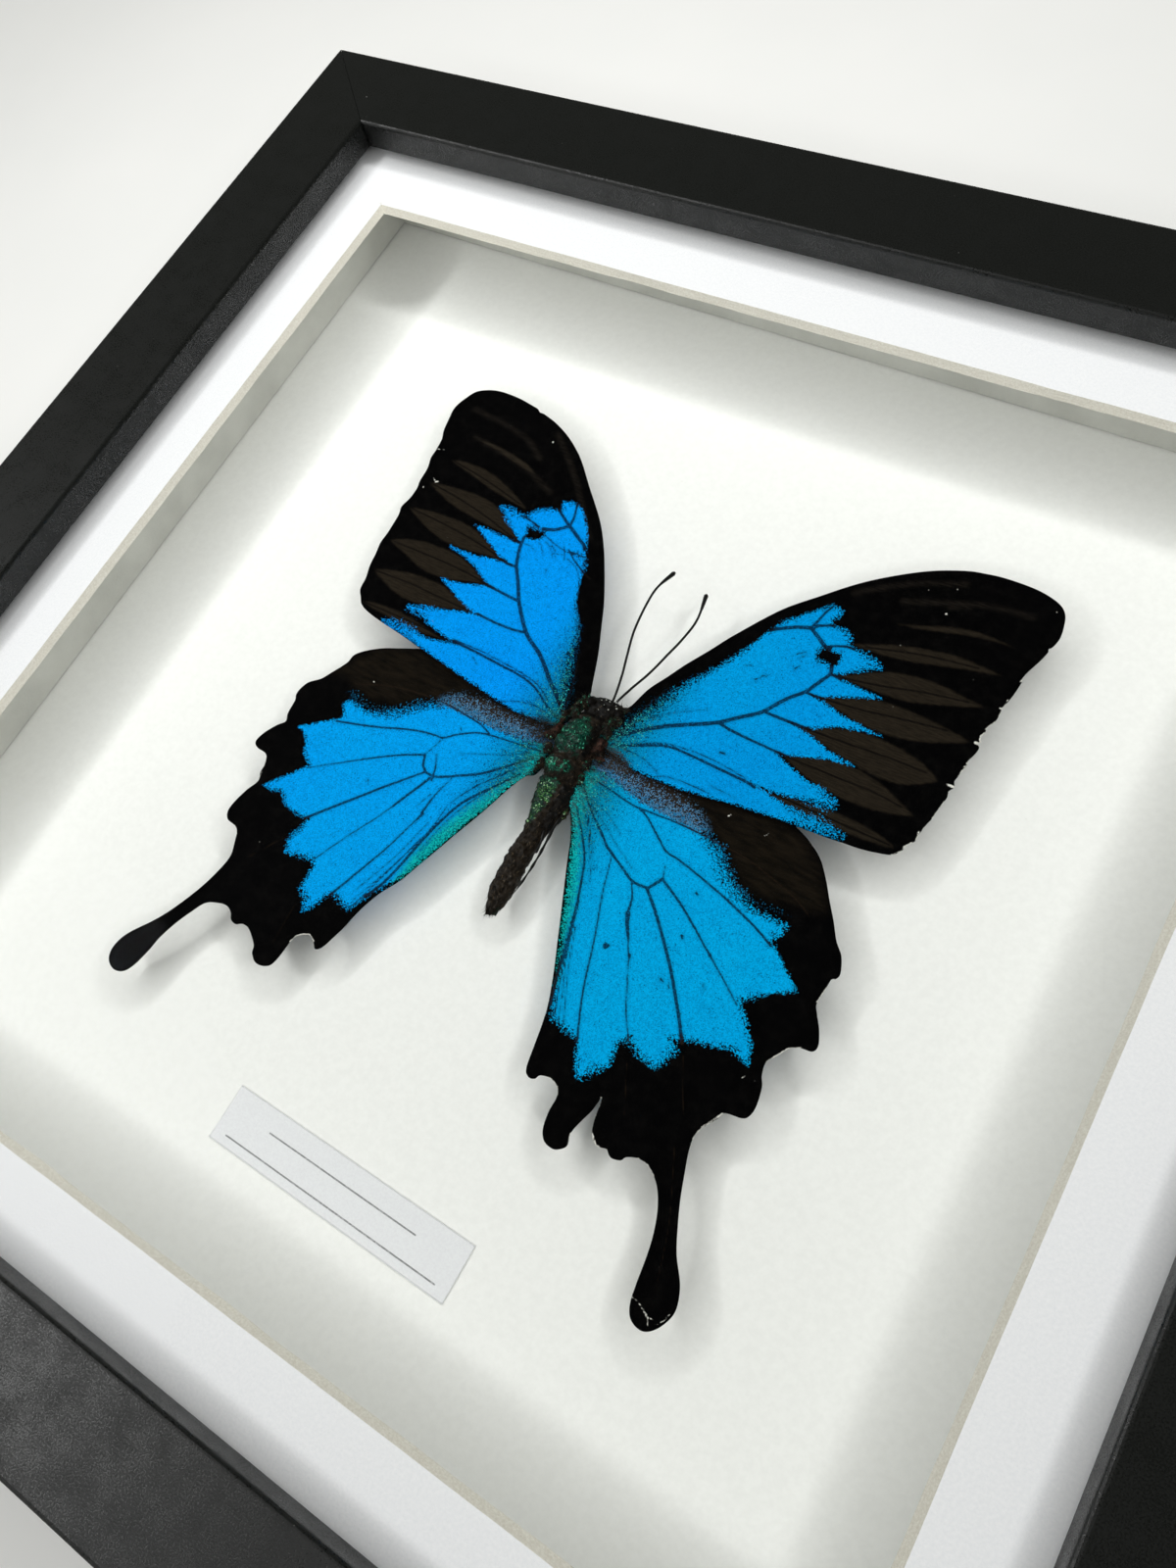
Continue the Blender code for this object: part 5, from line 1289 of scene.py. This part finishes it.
def cover_tree(share_name):
    """Geometry Nodes that set cones on a surface: long thin ones are hairs, low wide ones scales."""
    tree = bpy.data.node_groups.new("cover_" + share_name, "GeometryNodeTree")
    tree.interface.new_socket("Geometry", in_out="INPUT", socket_type="NodeSocketGeometry")
    for name, kind in COVER_INPUTS:
        tree.interface.new_socket(name, in_out="INPUT", socket_type=kind)
    tree.interface.new_socket("Geometry", in_out="OUTPUT", socket_type="NodeSocketGeometry")

    def add(kind, settings=(), **inputs):
        node = tree.nodes.new(kind)
        for name, value in dict(settings).items():
            setattr(node, name, value)
        for name, value in inputs.items():
            socket = node.inputs[int(name[1:])] if name[1:].isdigit() else node.inputs[name.replace("_", " ")]
            if isinstance(value, bpy.types.NodeSocket):
                tree.links.new(value, socket)
            else:
                socket.default_value = value
        return node

    given = add("NodeGroupInput").outputs
    share = add(
        "GeometryNodeInputNamedAttribute", {"data_type": "FLOAT"}, Name=share_name
    ).outputs["Attribute"]
    metric = add(
        "ShaderNodeMath", {"operation": "MULTIPLY"}, _0=given["Per Square Millimetre"], _1=1.0e6
    ).outputs[0]
    density = add("ShaderNodeMath", {"operation": "MULTIPLY"}, _0=metric, _1=share).outputs[0]
    spread = add(
        "GeometryNodeDistributePointsOnFaces", {"distribute_method": "RANDOM"}, Mesh=given["Geometry"],
        Density=density, Seed=given["Seed"]
    )
    stray = add(
        "FunctionNodeRandomValue", {"data_type": "FLOAT_VECTOR"}, _0=(-1.0, -1.0, -1.0), _1=(1.0, 1.0, 1.0),
        Seed=given["Seed"]
    ).outputs[0]
    lifted = add(
        "ShaderNodeVectorMath", {"operation": "SCALE"}, _0=spread.outputs["Normal"], Scale=given["Lift"]
    ).outputs[0]
    strayed = add("ShaderNodeVectorMath", {"operation": "SCALE"}, _0=stray, Scale=given["Unruly"]).outputs[0]
    leaning = add("ShaderNodeVectorMath", {"operation": "ADD"}, _0=lifted, _1=given["Along"]).outputs[0]
    aim = add("ShaderNodeVectorMath", {"operation": "ADD"}, _0=leaning, _1=strayed).outputs[0]
    turned = add("FunctionNodeAlignRotationToVector", {"axis": "Z"}, Vector=aim).outputs["Rotation"]
    radius = add("ShaderNodeMath", {"operation": "MULTIPLY"}, _0=given["Width"], _1=0.5).outputs[0]
    cone = add(
        "GeometryNodeMeshCone", Vertices=given["Sides"], Radius_Bottom=radius, Radius_Top=0.0,
        Depth=given["Length"]
    )
    size = add(
        "FunctionNodeRandomValue", {"data_type": "FLOAT"}, _2=0.55, _3=1.3, Seed=given["Seed"]
    ).outputs[1]
    set_out = add(
        "GeometryNodeInstanceOnPoints", Points=spread.outputs["Points"], Instance=cone.outputs["Mesh"],
        Rotation=turned, Scale=size
    )
    shade = add("FunctionNodeRandomValue", {"data_type": "FLOAT"}, _2=0.0, _3=1.0, Seed=7).outputs[1]
    marked = add("GeometryNodeStoreNamedAttribute", {"data_type": "FLOAT", "domain": "INSTANCE"},
                 Geometry=set_out.outputs["Instances"], Name="shade", Value=shade)
    real = add("GeometryNodeRealizeInstances", Geometry=marked.outputs["Geometry"])
    done = add("GeometryNodeSetMaterial", Geometry=real.outputs["Geometry"], Material=given["Finish"])
    add("NodeGroupOutput", Geometry=done.outputs["Geometry"])
    return tree


def cover(surface, name, share_name, slot, **inputs):
    """Grows hairs or scales where the surface's share is above 0, and returns them as one plain piece."""
    holder = bpy.data.objects.new(name, surface.data)
    bpy.context.scene.collection.objects.link(holder)
    tree = cover_tree(share_name)
    modifier = holder.modifiers.new("cover", "NODES")
    modifier.node_group = tree
    sockets = {item.name: item.identifier for item in tree.interface.items_tree if item.in_out == "INPUT"}
    for key, value in inputs.items():
        modifier[sockets[key.replace("_", " ")]] = value
    bpy.context.view_layer.update()
    made = bpy.data.meshes.new_from_object(holder.evaluated_get(bpy.context.evaluated_depsgraph_get()))
    holder.modifiers.clear()
    holder.data = made
    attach(holder, "root")
    return holder


hair = Finish("fine_hair", Roughness=0.55, Specular_IOR_Level=0.3)
hair_colour = hair.blend(hair.step(hair.attribute("shade"), 0.15, 1.0), tint(5, 5, 4), tint(46, 38, 29))
# A few hairs picked at random are pale brown: painted highlights on the fur.
hair_colour = hair.blend(hair.step(hair.attribute("shade"), 0.93, 1.0), hair_colour, tint(140, 122, 98))
hair_green = hair.blend(hair.attribute("shade"), tint(2, 22, 18), tint(14, 84, 64))
hair.set("Base Color", hair.blend(hair.step(hair.attribute("green"), -0.2, 0.3), hair_colour, hair_green))
glitter = Finish("loose_scales", Roughness=0.4, Specular_IOR_Level=0.5)
deep = glitter.blend(glitter.step(glitter.attribute("shade"), 0.0, 0.85), tint(1, 16, 13), tint(8, 92, 68))
# A few scales picked at random turn pale green: painted glints.
deep = glitter.blend(glitter.step(glitter.attribute("shade"), 0.86, 0.97), deep, tint(92, 206, 164))
golden = glitter.blend(
    glitter.step(glitter.attribute("shade"), 0.0, 0.85), tint(12, 34, 20), tint(72, 134, 66)
)
# A few scales picked at random turn pale gold: painted glints.
golden = glitter.blend(glitter.step(glitter.attribute("shade"), 0.82, 0.95), golden, tint(184, 230, 172))
bright = glitter.blend(
    glitter.step(glitter.attribute("shade"), 0.1, 0.8), tint(0, 84, 66), tint(16, 176, 134)
)
# A few scales picked at random turn pale turquoise: painted glints.
bright = glitter.blend(glitter.step(glitter.attribute("shade"), 0.86, 0.97), bright, tint(150, 236, 206))
glitter_colour = glitter.blend(glitter.step(glitter.axis("Y"), -0.6, -2.4), deep, golden)
on_lobes = glitter.times(glitter.step(glitter.axis("Y"), 0.4, 0.9), glitter.step(glitter.axis("Y"), 3.4, 2.8))
glitter.set("Base Color", glitter.blend(glitter.times(on_lobes, 0.8), glitter_colour, bright))

cover(
    body, "body_hair", "hairs", "body_fur", Per_Square_Millimetre=34.0, Length=0.00105, Width=0.000055,
    Sides=3, Along=(0.0, -1.0, 0.0), Lift=0.32, Unruly=0.35, Seed=5, Finish=hair.material
)
cover(
    body, "body_scales", "flakes", "body_fur", Per_Square_Millimetre=34.0, Length=0.00005, Width=0.00032,
    Sides=5, Along=(0.0, 0.0, 0.0), Lift=1.0, Unruly=0.4, Seed=6, Finish=glitter.material
)
cover(
    shoulders, "shoulder_scales", "flakes", "body_fur", Per_Square_Millimetre=22.0, Length=0.00005,
    Width=0.00028, Sides=5, Along=(0.0, 0.0, 0.0), Lift=1.0, Unruly=0.4, Seed=12, Finish=glitter.material
)
cover(
    shoulders, "shoulder_hair", "hairs", "body_fur", Per_Square_Millimetre=26.0, Length=0.0009, Width=0.00006,
    Sides=3, Along=(0.0, -0.7, 0.0), Lift=0.4, Unruly=0.7, Seed=8, Finish=hair.material
)

root_scales = Finish("root_scales", Roughness=0.5, Specular_IOR_Level=0.4)
shore = root_scales.blend(root_scales.attribute("shade"), tint(0, 56, 66), tint(12, 176, 170))
# A few scales picked at random turn pale turquoise: painted glints.
root_scales.set(
    "Base Color",
    root_scales.blend(root_scales.step(root_scales.attribute("shade"), 0.9, 0.98), shore, tint(64, 204, 206))
)
root_hair = Finish("root_hair", Roughness=0.6, Specular_IOR_Level=0.25)
root_colour = root_hair.blend(root_hair.attribute("shade"), tint(10, 11, 11), tint(74, 65, 56))
root_teal = root_hair.blend(root_hair.attribute("shade"), tint(4, 46, 50), tint(16, 120, 120))
root_hair.set(
    "Base Color",
    root_hair.blend(root_hair.step(root_hair.attribute("green"), 0.3, 0.7), root_colour, root_teal)
)
GREY_PATCH = ((4, 8.6), (7, 9), (10.5, 7.6), (10, 6.2), (7, 5.4), (4.4, 5.2))
for side, sign in (("right", 1), ("left", -1)):
    corners, faces, inner = [], [], []
    for kind in ("forewing", "hindwing"):
        source = bpy.data.objects[f"{side}_{kind}"].data
        spots = np.empty(len(source.vertices) * 3)
        source.vertices.foreach_get("co", spots)
        spots = spots.reshape(-1, 3) / MM
        half_count = len(spots) // 2
        near = np.abs(spots[:, 0]) < 17
        reach = np.empty(len(source.vertices), np.float32)
        source.attributes["field"].data.foreach_get("value", reach)
        inner.append(reach)
        first = len(corners)
        corners += list(spots)
        faces += [
            tuple(first + k for k in polygon.vertices) for polygon in source.polygons
            if len(polygon.vertices) == 3 and max(polygon.vertices) < half_count and near[polygon.vertices[0]]
        ]
    used = sorted({k for face in faces for k in face})
    renumber = {k: i for i, k in enumerate(used)}
    pelt = make_piece(
        f"{side}_root_pelt", [corners[k] for k in used], [tuple(renumber[k] for k in f) for f in faces],
        (root_hair,)
    )
    at = np.array([corners[k] for k in used])
    inner = np.concatenate(inner)[used]
    out = sign * at[:, 0]
    patchy = np.clip(0.6 + 0.5 * lumps(at, 1.8, 31), 0, 1)
    mirrored = np.c_[out, at[:, 1]]
    grey = np.clip(within(mirrored, GREY_PATCH) * 1.5 + 0.6, 0, 1)
    close = np.clip((9.5 - out) / 5.0, 0, 1) ** 1.5
    green = np.clip(1 - 2.0 * grey, 0, 1) * (lumps(at, 0.8, 32) > -0.2)
    add_values(pelt, green=green, hairs=np.clip(close * 0.75 * patchy * (at[:, 1] < 11) + grey * 0.9, 0, 1),
               flakes=np.clip((13 - out) / 8.0, 0, 1) ** 1.6 * patchy * (1 - grey)
               * np.clip(inner * 1.4 + 1.1, 0, 1))
    cover(
        pelt, f"{side}_root_hair", "hairs", "body_fur", Per_Square_Millimetre=34.0, Length=0.0012,
        Width=0.00006, Sides=3, Along=(sign * 1.0, -0.25, 0.0), Lift=0.12, Unruly=0.3, Seed=9,
        Finish=root_hair.material
    )
    cover(
        pelt, f"{side}_root_scales", "flakes", "forewing_scales", Per_Square_Millimetre=26.0, Length=0.00004,
        Width=0.00024, Sides=5, Along=(0.0, 0.0, 0.0), Lift=1.0, Unruly=0.3, Seed=10,
        Finish=root_scales.material
    )
    bpy.data.objects.remove(pelt)

# ---------------------------------------------------------------------------------------------------------
# The antennae and a loose thread: thin black feelers, each ending in a small curved club, and a stiff dark
# thread of dry gut that hangs beside the abdomen.
# ---------------------------------------------------------------------------------------------------------
LEFT_ANTENNA = (
    (1.3, 16.0, 6.6), (1.75, 17.5, 7.2), (1, 21.9, 7.7), (0, 25.6, 7.9), (-1.3, 30.6, 8), (-2, 36.3, 7.8),
    (-2.05, 40.6, 7.4), (-0.75, 44.9, 7.1)
)
RIGHT_ANTENNA = (
    (2.4, 16.0, 6.6), (2.6, 17.5, 7.2), (3.75, 20.6, 7.6), (5.25, 24.4, 7.9), (6.4, 28.8, 8),
    (7.3, 33.1, 7.8), (7.6, 37.5, 7.4), (6.6, 43, 7.1)
)
THREAD = (
    (4.5, -2.6, 6.6), (4.3, -5.4, 6.6), (4.15, -8, 6.4), (4.25, -11, 6.2), (4.35, -14, 6.2),
    (4.2, -17.4, 6.1), (3.9, -20.6, 6)
)
SHRED = ((3.0, -9, 6.4), (3.5, -11, 6.4), (3.7, -13.1, 6.3))
# Where each shred at the tip of the abdomen starts, and how far it leans to the right.
TIP_SHREDS = (
    (0.9, -23.6, -0.1), (1.5, -23.9, -0.35), (2.0, -24.0, 0.25), (2.5, -23.9, 0.1), (1.8, -24.3, -0.1)
)
TUBE_SIDES = 10


def smooth_route(route, spacing):
    """Points on a smooth curve in space, spacing apart."""
    route = np.array(route, float)
    plan = curve_through(route[:, :2], spacing, closed=False)
    length = np.concatenate([[0], np.cumsum(np.hypot(*np.diff(plan, axis=0).T))])
    knots = np.concatenate([[0], np.cumsum(np.hypot(*np.diff(route[:, :2], axis=0).T))])
    height = np.interp(length, knots * length[-1] / knots[-1], route[:, 2])
    return np.c_[plan, height + backing_top], length / length[-1], length


def tube(name, route, radius_of, finish, spacing=0.09):
    points, share, length = smooth_route(route, spacing)
    forward = np.gradient(points, axis=0)
    forward /= np.linalg.norm(forward, axis=1)[:, None]
    sideways = np.cross(forward, (0, 0, 1))
    sideways /= np.linalg.norm(sideways, axis=1)[:, None]
    above = np.cross(sideways, forward)
    turns = np.arange(TUBE_SIDES) / TUBE_SIDES * 2 * math.pi
    radius = radius_of(share, length)[:, None, None]
    rings = points[:, None] + radius * (
        sideways[:, None] * np.cos(turns)[:, None] + above[:, None] * np.sin(turns)[:, None]
    )
    faces = [tuple(reversed(face)) for face in skin(len(points), TUBE_SIDES)]
    piece = make_piece(name, rings.reshape(-1, 3), faces, (finish,))
    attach(piece, "root")
    return piece


def feeler_radius(share, length):
    """A thin ringed stalk, thickening over its last millimetres into a club with a round end."""
    before_end = length[-1] - length
    club = 0.215 * np.clip(1 - before_end / 3.6, 0, 1) ** 0.7
    ringed = 1 + 0.07 * np.sin(length * 2 * math.pi / 0.42)
    return (0.215 + club) * ringed * np.sqrt(np.clip(before_end / 0.4, 0.002, 1)) + 0.005


feeler = Finish("black_feeler", Roughness=0.45, Specular_IOR_Level=0.4)
feeler.set("Base Color", feeler.blend(feeler.noise(1.5, 3.0), tint(5, 5, 5), tint(17, 16, 15)))
feeler.bump(feeler.noise(6.0, 2.0), 0.02)
for side, route in (("left", LEFT_ANTENNA), ("right", RIGHT_ANTENNA)):
    antenna = tube(f"{side}_feeler", route, feeler_radius, feeler)
    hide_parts("antenna_" + side)


def thread_radius(share, length):
    return (0.3 - 0.13 * share + 0.05 * np.sin(length * 2.1)) * np.clip((1.02 - share) * 12, 0.05, 1)


tube("loose_thread", THREAD, thread_radius, feeler)
tube("loose_shred", SHRED, thread_radius, feeler)
for number, (x, y, lean) in enumerate(TIP_SHREDS):
    shred = ((x, y, 5.2), (x + lean / 2, y - 0.8, 5.0), (x + lean, y - 1.5, 4.8))
    tube(f"tip_shred_{number + 1}", shred, thread_radius, cuticle)

# ---------------------------------------------------------------------------------------------------------
# The pad: a small block of white foam under the thorax, which the body is glued and pinned to.
# ---------------------------------------------------------------------------------------------------------
low, high = in_mm("thorax_pad")
block = bmesh.new()
bmesh.ops.create_cube(block, size=1.0)
bmesh.ops.scale(block, vec=(high - low) * MM, verts=block.verts)
bmesh.ops.translate(block, vec=(high + low) / 2 * MM, verts=block.verts)
bmesh.ops.bevel(block, geom=block.edges[:], offset=0.5 * MM, segments=4, profile=0.6, affect="EDGES")
pad_data = bpy.data.meshes.new("foam_block")
block.to_mesh(pad_data)
block.free()
pad_data.materials.append(foam.material)
pad_data.shade_smooth()
pad = bpy.data.objects.new("foam_block", pad_data)
bpy.context.scene.collection.objects.link(pad)
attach(pad, "root")
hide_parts("thorax_pad")

# ---------------------------------------------------------------------------------------------------------
# The back: a panel of brown hardboard, smooth on the outside, held by eight sprung steel points.
# ---------------------------------------------------------------------------------------------------------

hardboard = Finish("brown_hardboard", Roughness=0.72, Specular_IOR_Level=0.3)
matted = hardboard.noise(0.9, 6.0, place=hardboard.stretched(1.0, 0.4, 1.0), rough=0.72)
board_colour = hardboard.blend(hardboard.step(matted, 0.3, 0.75), tint(92, 66, 44), tint(136, 102, 70))
hardboard.set("Base Color", hardboard.blend(hardboard.specks(0.8, 0.5, 0.16), board_colour, tint(64, 44, 30)))
hardboard.bump(matted, 0.06)
dress("back_panel", hardboard)
steel = Finish("sprung_steel", Metallic=1.0)
brushed = steel.noise(1.0, 4.0, place=steel.stretched(4.0, 0.5, 4.0))
steel.set("Base Color", steel.blend(brushed, tint(150, 150, 152), tint(196, 197, 198)))
steel.set("Roughness", steel.step(brushed, 0.2, 0.8, 0.28, 0.45))
steel.bump(brushed, 0.01)
for side in ("top", "bottom", "left", "right"):
    for number in (1, 2):
        dress(f"point_{side}_{number}", steel)

# ---------------------------------------------------------------------------------------------------------
# The bench, the light and the camera. A ring of soft lamps hangs over the frame, so that every edge throws
# a soft shadow to all sides, and a pale room fills the rest. The far bench glows with painted light.
# ---------------------------------------------------------------------------------------------------------
LAMP_COUNT = 20
LAMP_RING = 225.0
LAMP_WIDTH = 40.0
LAMP_HEIGHT = 318.0
LAMP_CENTRE = (12.0, -15.0)
LAMP_WATTS = 0.099
BRIGHT_SIDE = math.radians(130.0)
BRIGHT_SWING = 0.4
LAMP_TILT = math.radians(20.0)
TILT_TOWARDS = (-0.7, 0.7)
ROOM_LIGHT = 0.12
ROOM_SEEN = 0.6
BENCH_REACH = 2500.0
FAR_BENCH_STARTS = 290.0
FAR_BENCH_ENDS = 640.0
FAR_BENCH_PAINTED_GLOW = 0.5
SHEEN_AT = (-0.47, -0.27, 0.52)
SHEEN_FACING = (-0.41, -0.16, 0.48)
CAMERA_AT = (73.007, -55.442, 205.098)
CAMERA_TURNS = (25.435, 12.363, 31.368)

bench = Finish("pale_bench", Roughness=0.7, Specular_IOR_Level=0.2)
bench.set("Base Color", bench.blend(bench.noise(0.02, 3.0), tint(238, 239, 236), tint(246, 246, 243)))
# Past FAR_BENCH_STARTS the bench glows, brighter up to FAR_BENCH_ENDS: painted light, keeping the far bench
# pale beyond the lamps.
away = bench.add("ShaderNodeVectorMath", {"operation": "LENGTH"}, Vector=bench.place).outputs["Value"]
bench.set("Emission Color", (1.0, 1.0, 0.97, 1.0))
bench.set("Emission Strength", bench.step(away, FAR_BENCH_STARTS, FAR_BENCH_ENDS, 0.0, FAR_BENCH_PAINTED_GLOW))
corners = [(x * BENCH_REACH, y * BENCH_REACH, 0) for x, y in ((-1, -1), (1, -1), (1, 1), (-1, 1))]
floor = make_piece("bench_top", corners, [(0, 1, 2, 3)], (bench,), smooth=False)

room = bpy.data.worlds.new("pale_room")
room.use_nodes = True
room.node_tree.nodes["Background"].inputs["Color"].default_value = (1.0, 0.995, 0.9, 1.0)
seen = room.node_tree.nodes.new("ShaderNodeMapRange")
for socket, value in zip(("To Min", "To Max"), (ROOM_LIGHT, ROOM_SEEN)):
    seen.inputs[socket].default_value = value
ray = room.node_tree.nodes.new("ShaderNodeLightPath")
room.node_tree.links.new(ray.outputs["Is Camera Ray"], seen.inputs["Value"])
room.node_tree.links.new(seen.outputs["Result"], room.node_tree.nodes["Background"].inputs["Strength"])
bpy.context.scene.world = room
room.cycles_visibility.glossy = True

for number in range(LAMP_COUNT):
    angle = 2 * math.pi * number / LAMP_COUNT
    lamp = bpy.data.lights.new(f"lamp_{number + 1}", "AREA")
    lamp.shape = "RECTANGLE"
    lamp.size = 2 * math.pi * LAMP_RING / LAMP_COUNT * MM
    lamp.size_y = LAMP_WIDTH * MM
    lamp.energy = LAMP_WATTS * (1.0 + BRIGHT_SWING * math.cos(angle - BRIGHT_SIDE))
    hung = bpy.data.objects.new(lamp.name, lamp)
    hung.location = (
        (LAMP_CENTRE[0] + LAMP_RING * math.cos(angle)) * MM,
        (LAMP_CENTRE[1] + LAMP_RING * math.sin(angle)) * MM,
        LAMP_HEIGHT * MM,
    )
    lit_way = Vector((*(share * math.sin(LAMP_TILT) for share in TILT_TOWARDS), -math.cos(LAMP_TILT)))
    tilted = Vector((0.0, 0.0, -1.0)).rotation_difference(lit_way)
    hung.rotation_euler = (tilted @ Euler((0.0, 0.0, angle + math.pi / 2)).to_quaternion()).to_euler()
    hung.visible_glossy = False
    bpy.context.scene.collection.objects.link(hung)

# A large dim panel behind the lower left corner shows only as a sheen in the satin foil.
panel = bpy.data.lights.new("sheen_panel", "AREA")
panel.shape = "DISK"
panel.size = 0.5
panel.energy = 3.6
leaning = bpy.data.objects.new("sheen_panel", panel)
leaning.location = SHEEN_AT
leaning.rotation_euler = Vector(SHEEN_FACING).to_track_quat("Z", "Y").to_euler()
leaning.visible_diffuse = False
bpy.context.scene.collection.objects.link(leaning)

eye = bpy.data.cameras.new("camera")
eye.lens = 27.985
eye.sensor_width = 36.0
eye.shift_x = 0.04875
eye.shift_y = -0.02125
eye.clip_start = 0.01
eye.clip_end = 20.0
camera = bpy.data.objects.new("camera", eye)
camera.location = [value * MM for value in CAMERA_AT]
camera.rotation_euler = [math.radians(angle) for angle in CAMERA_TURNS]
bpy.context.scene.collection.objects.link(camera)
bpy.context.scene.camera = camera
bpy.context.scene.view_settings.view_transform = "Standard"
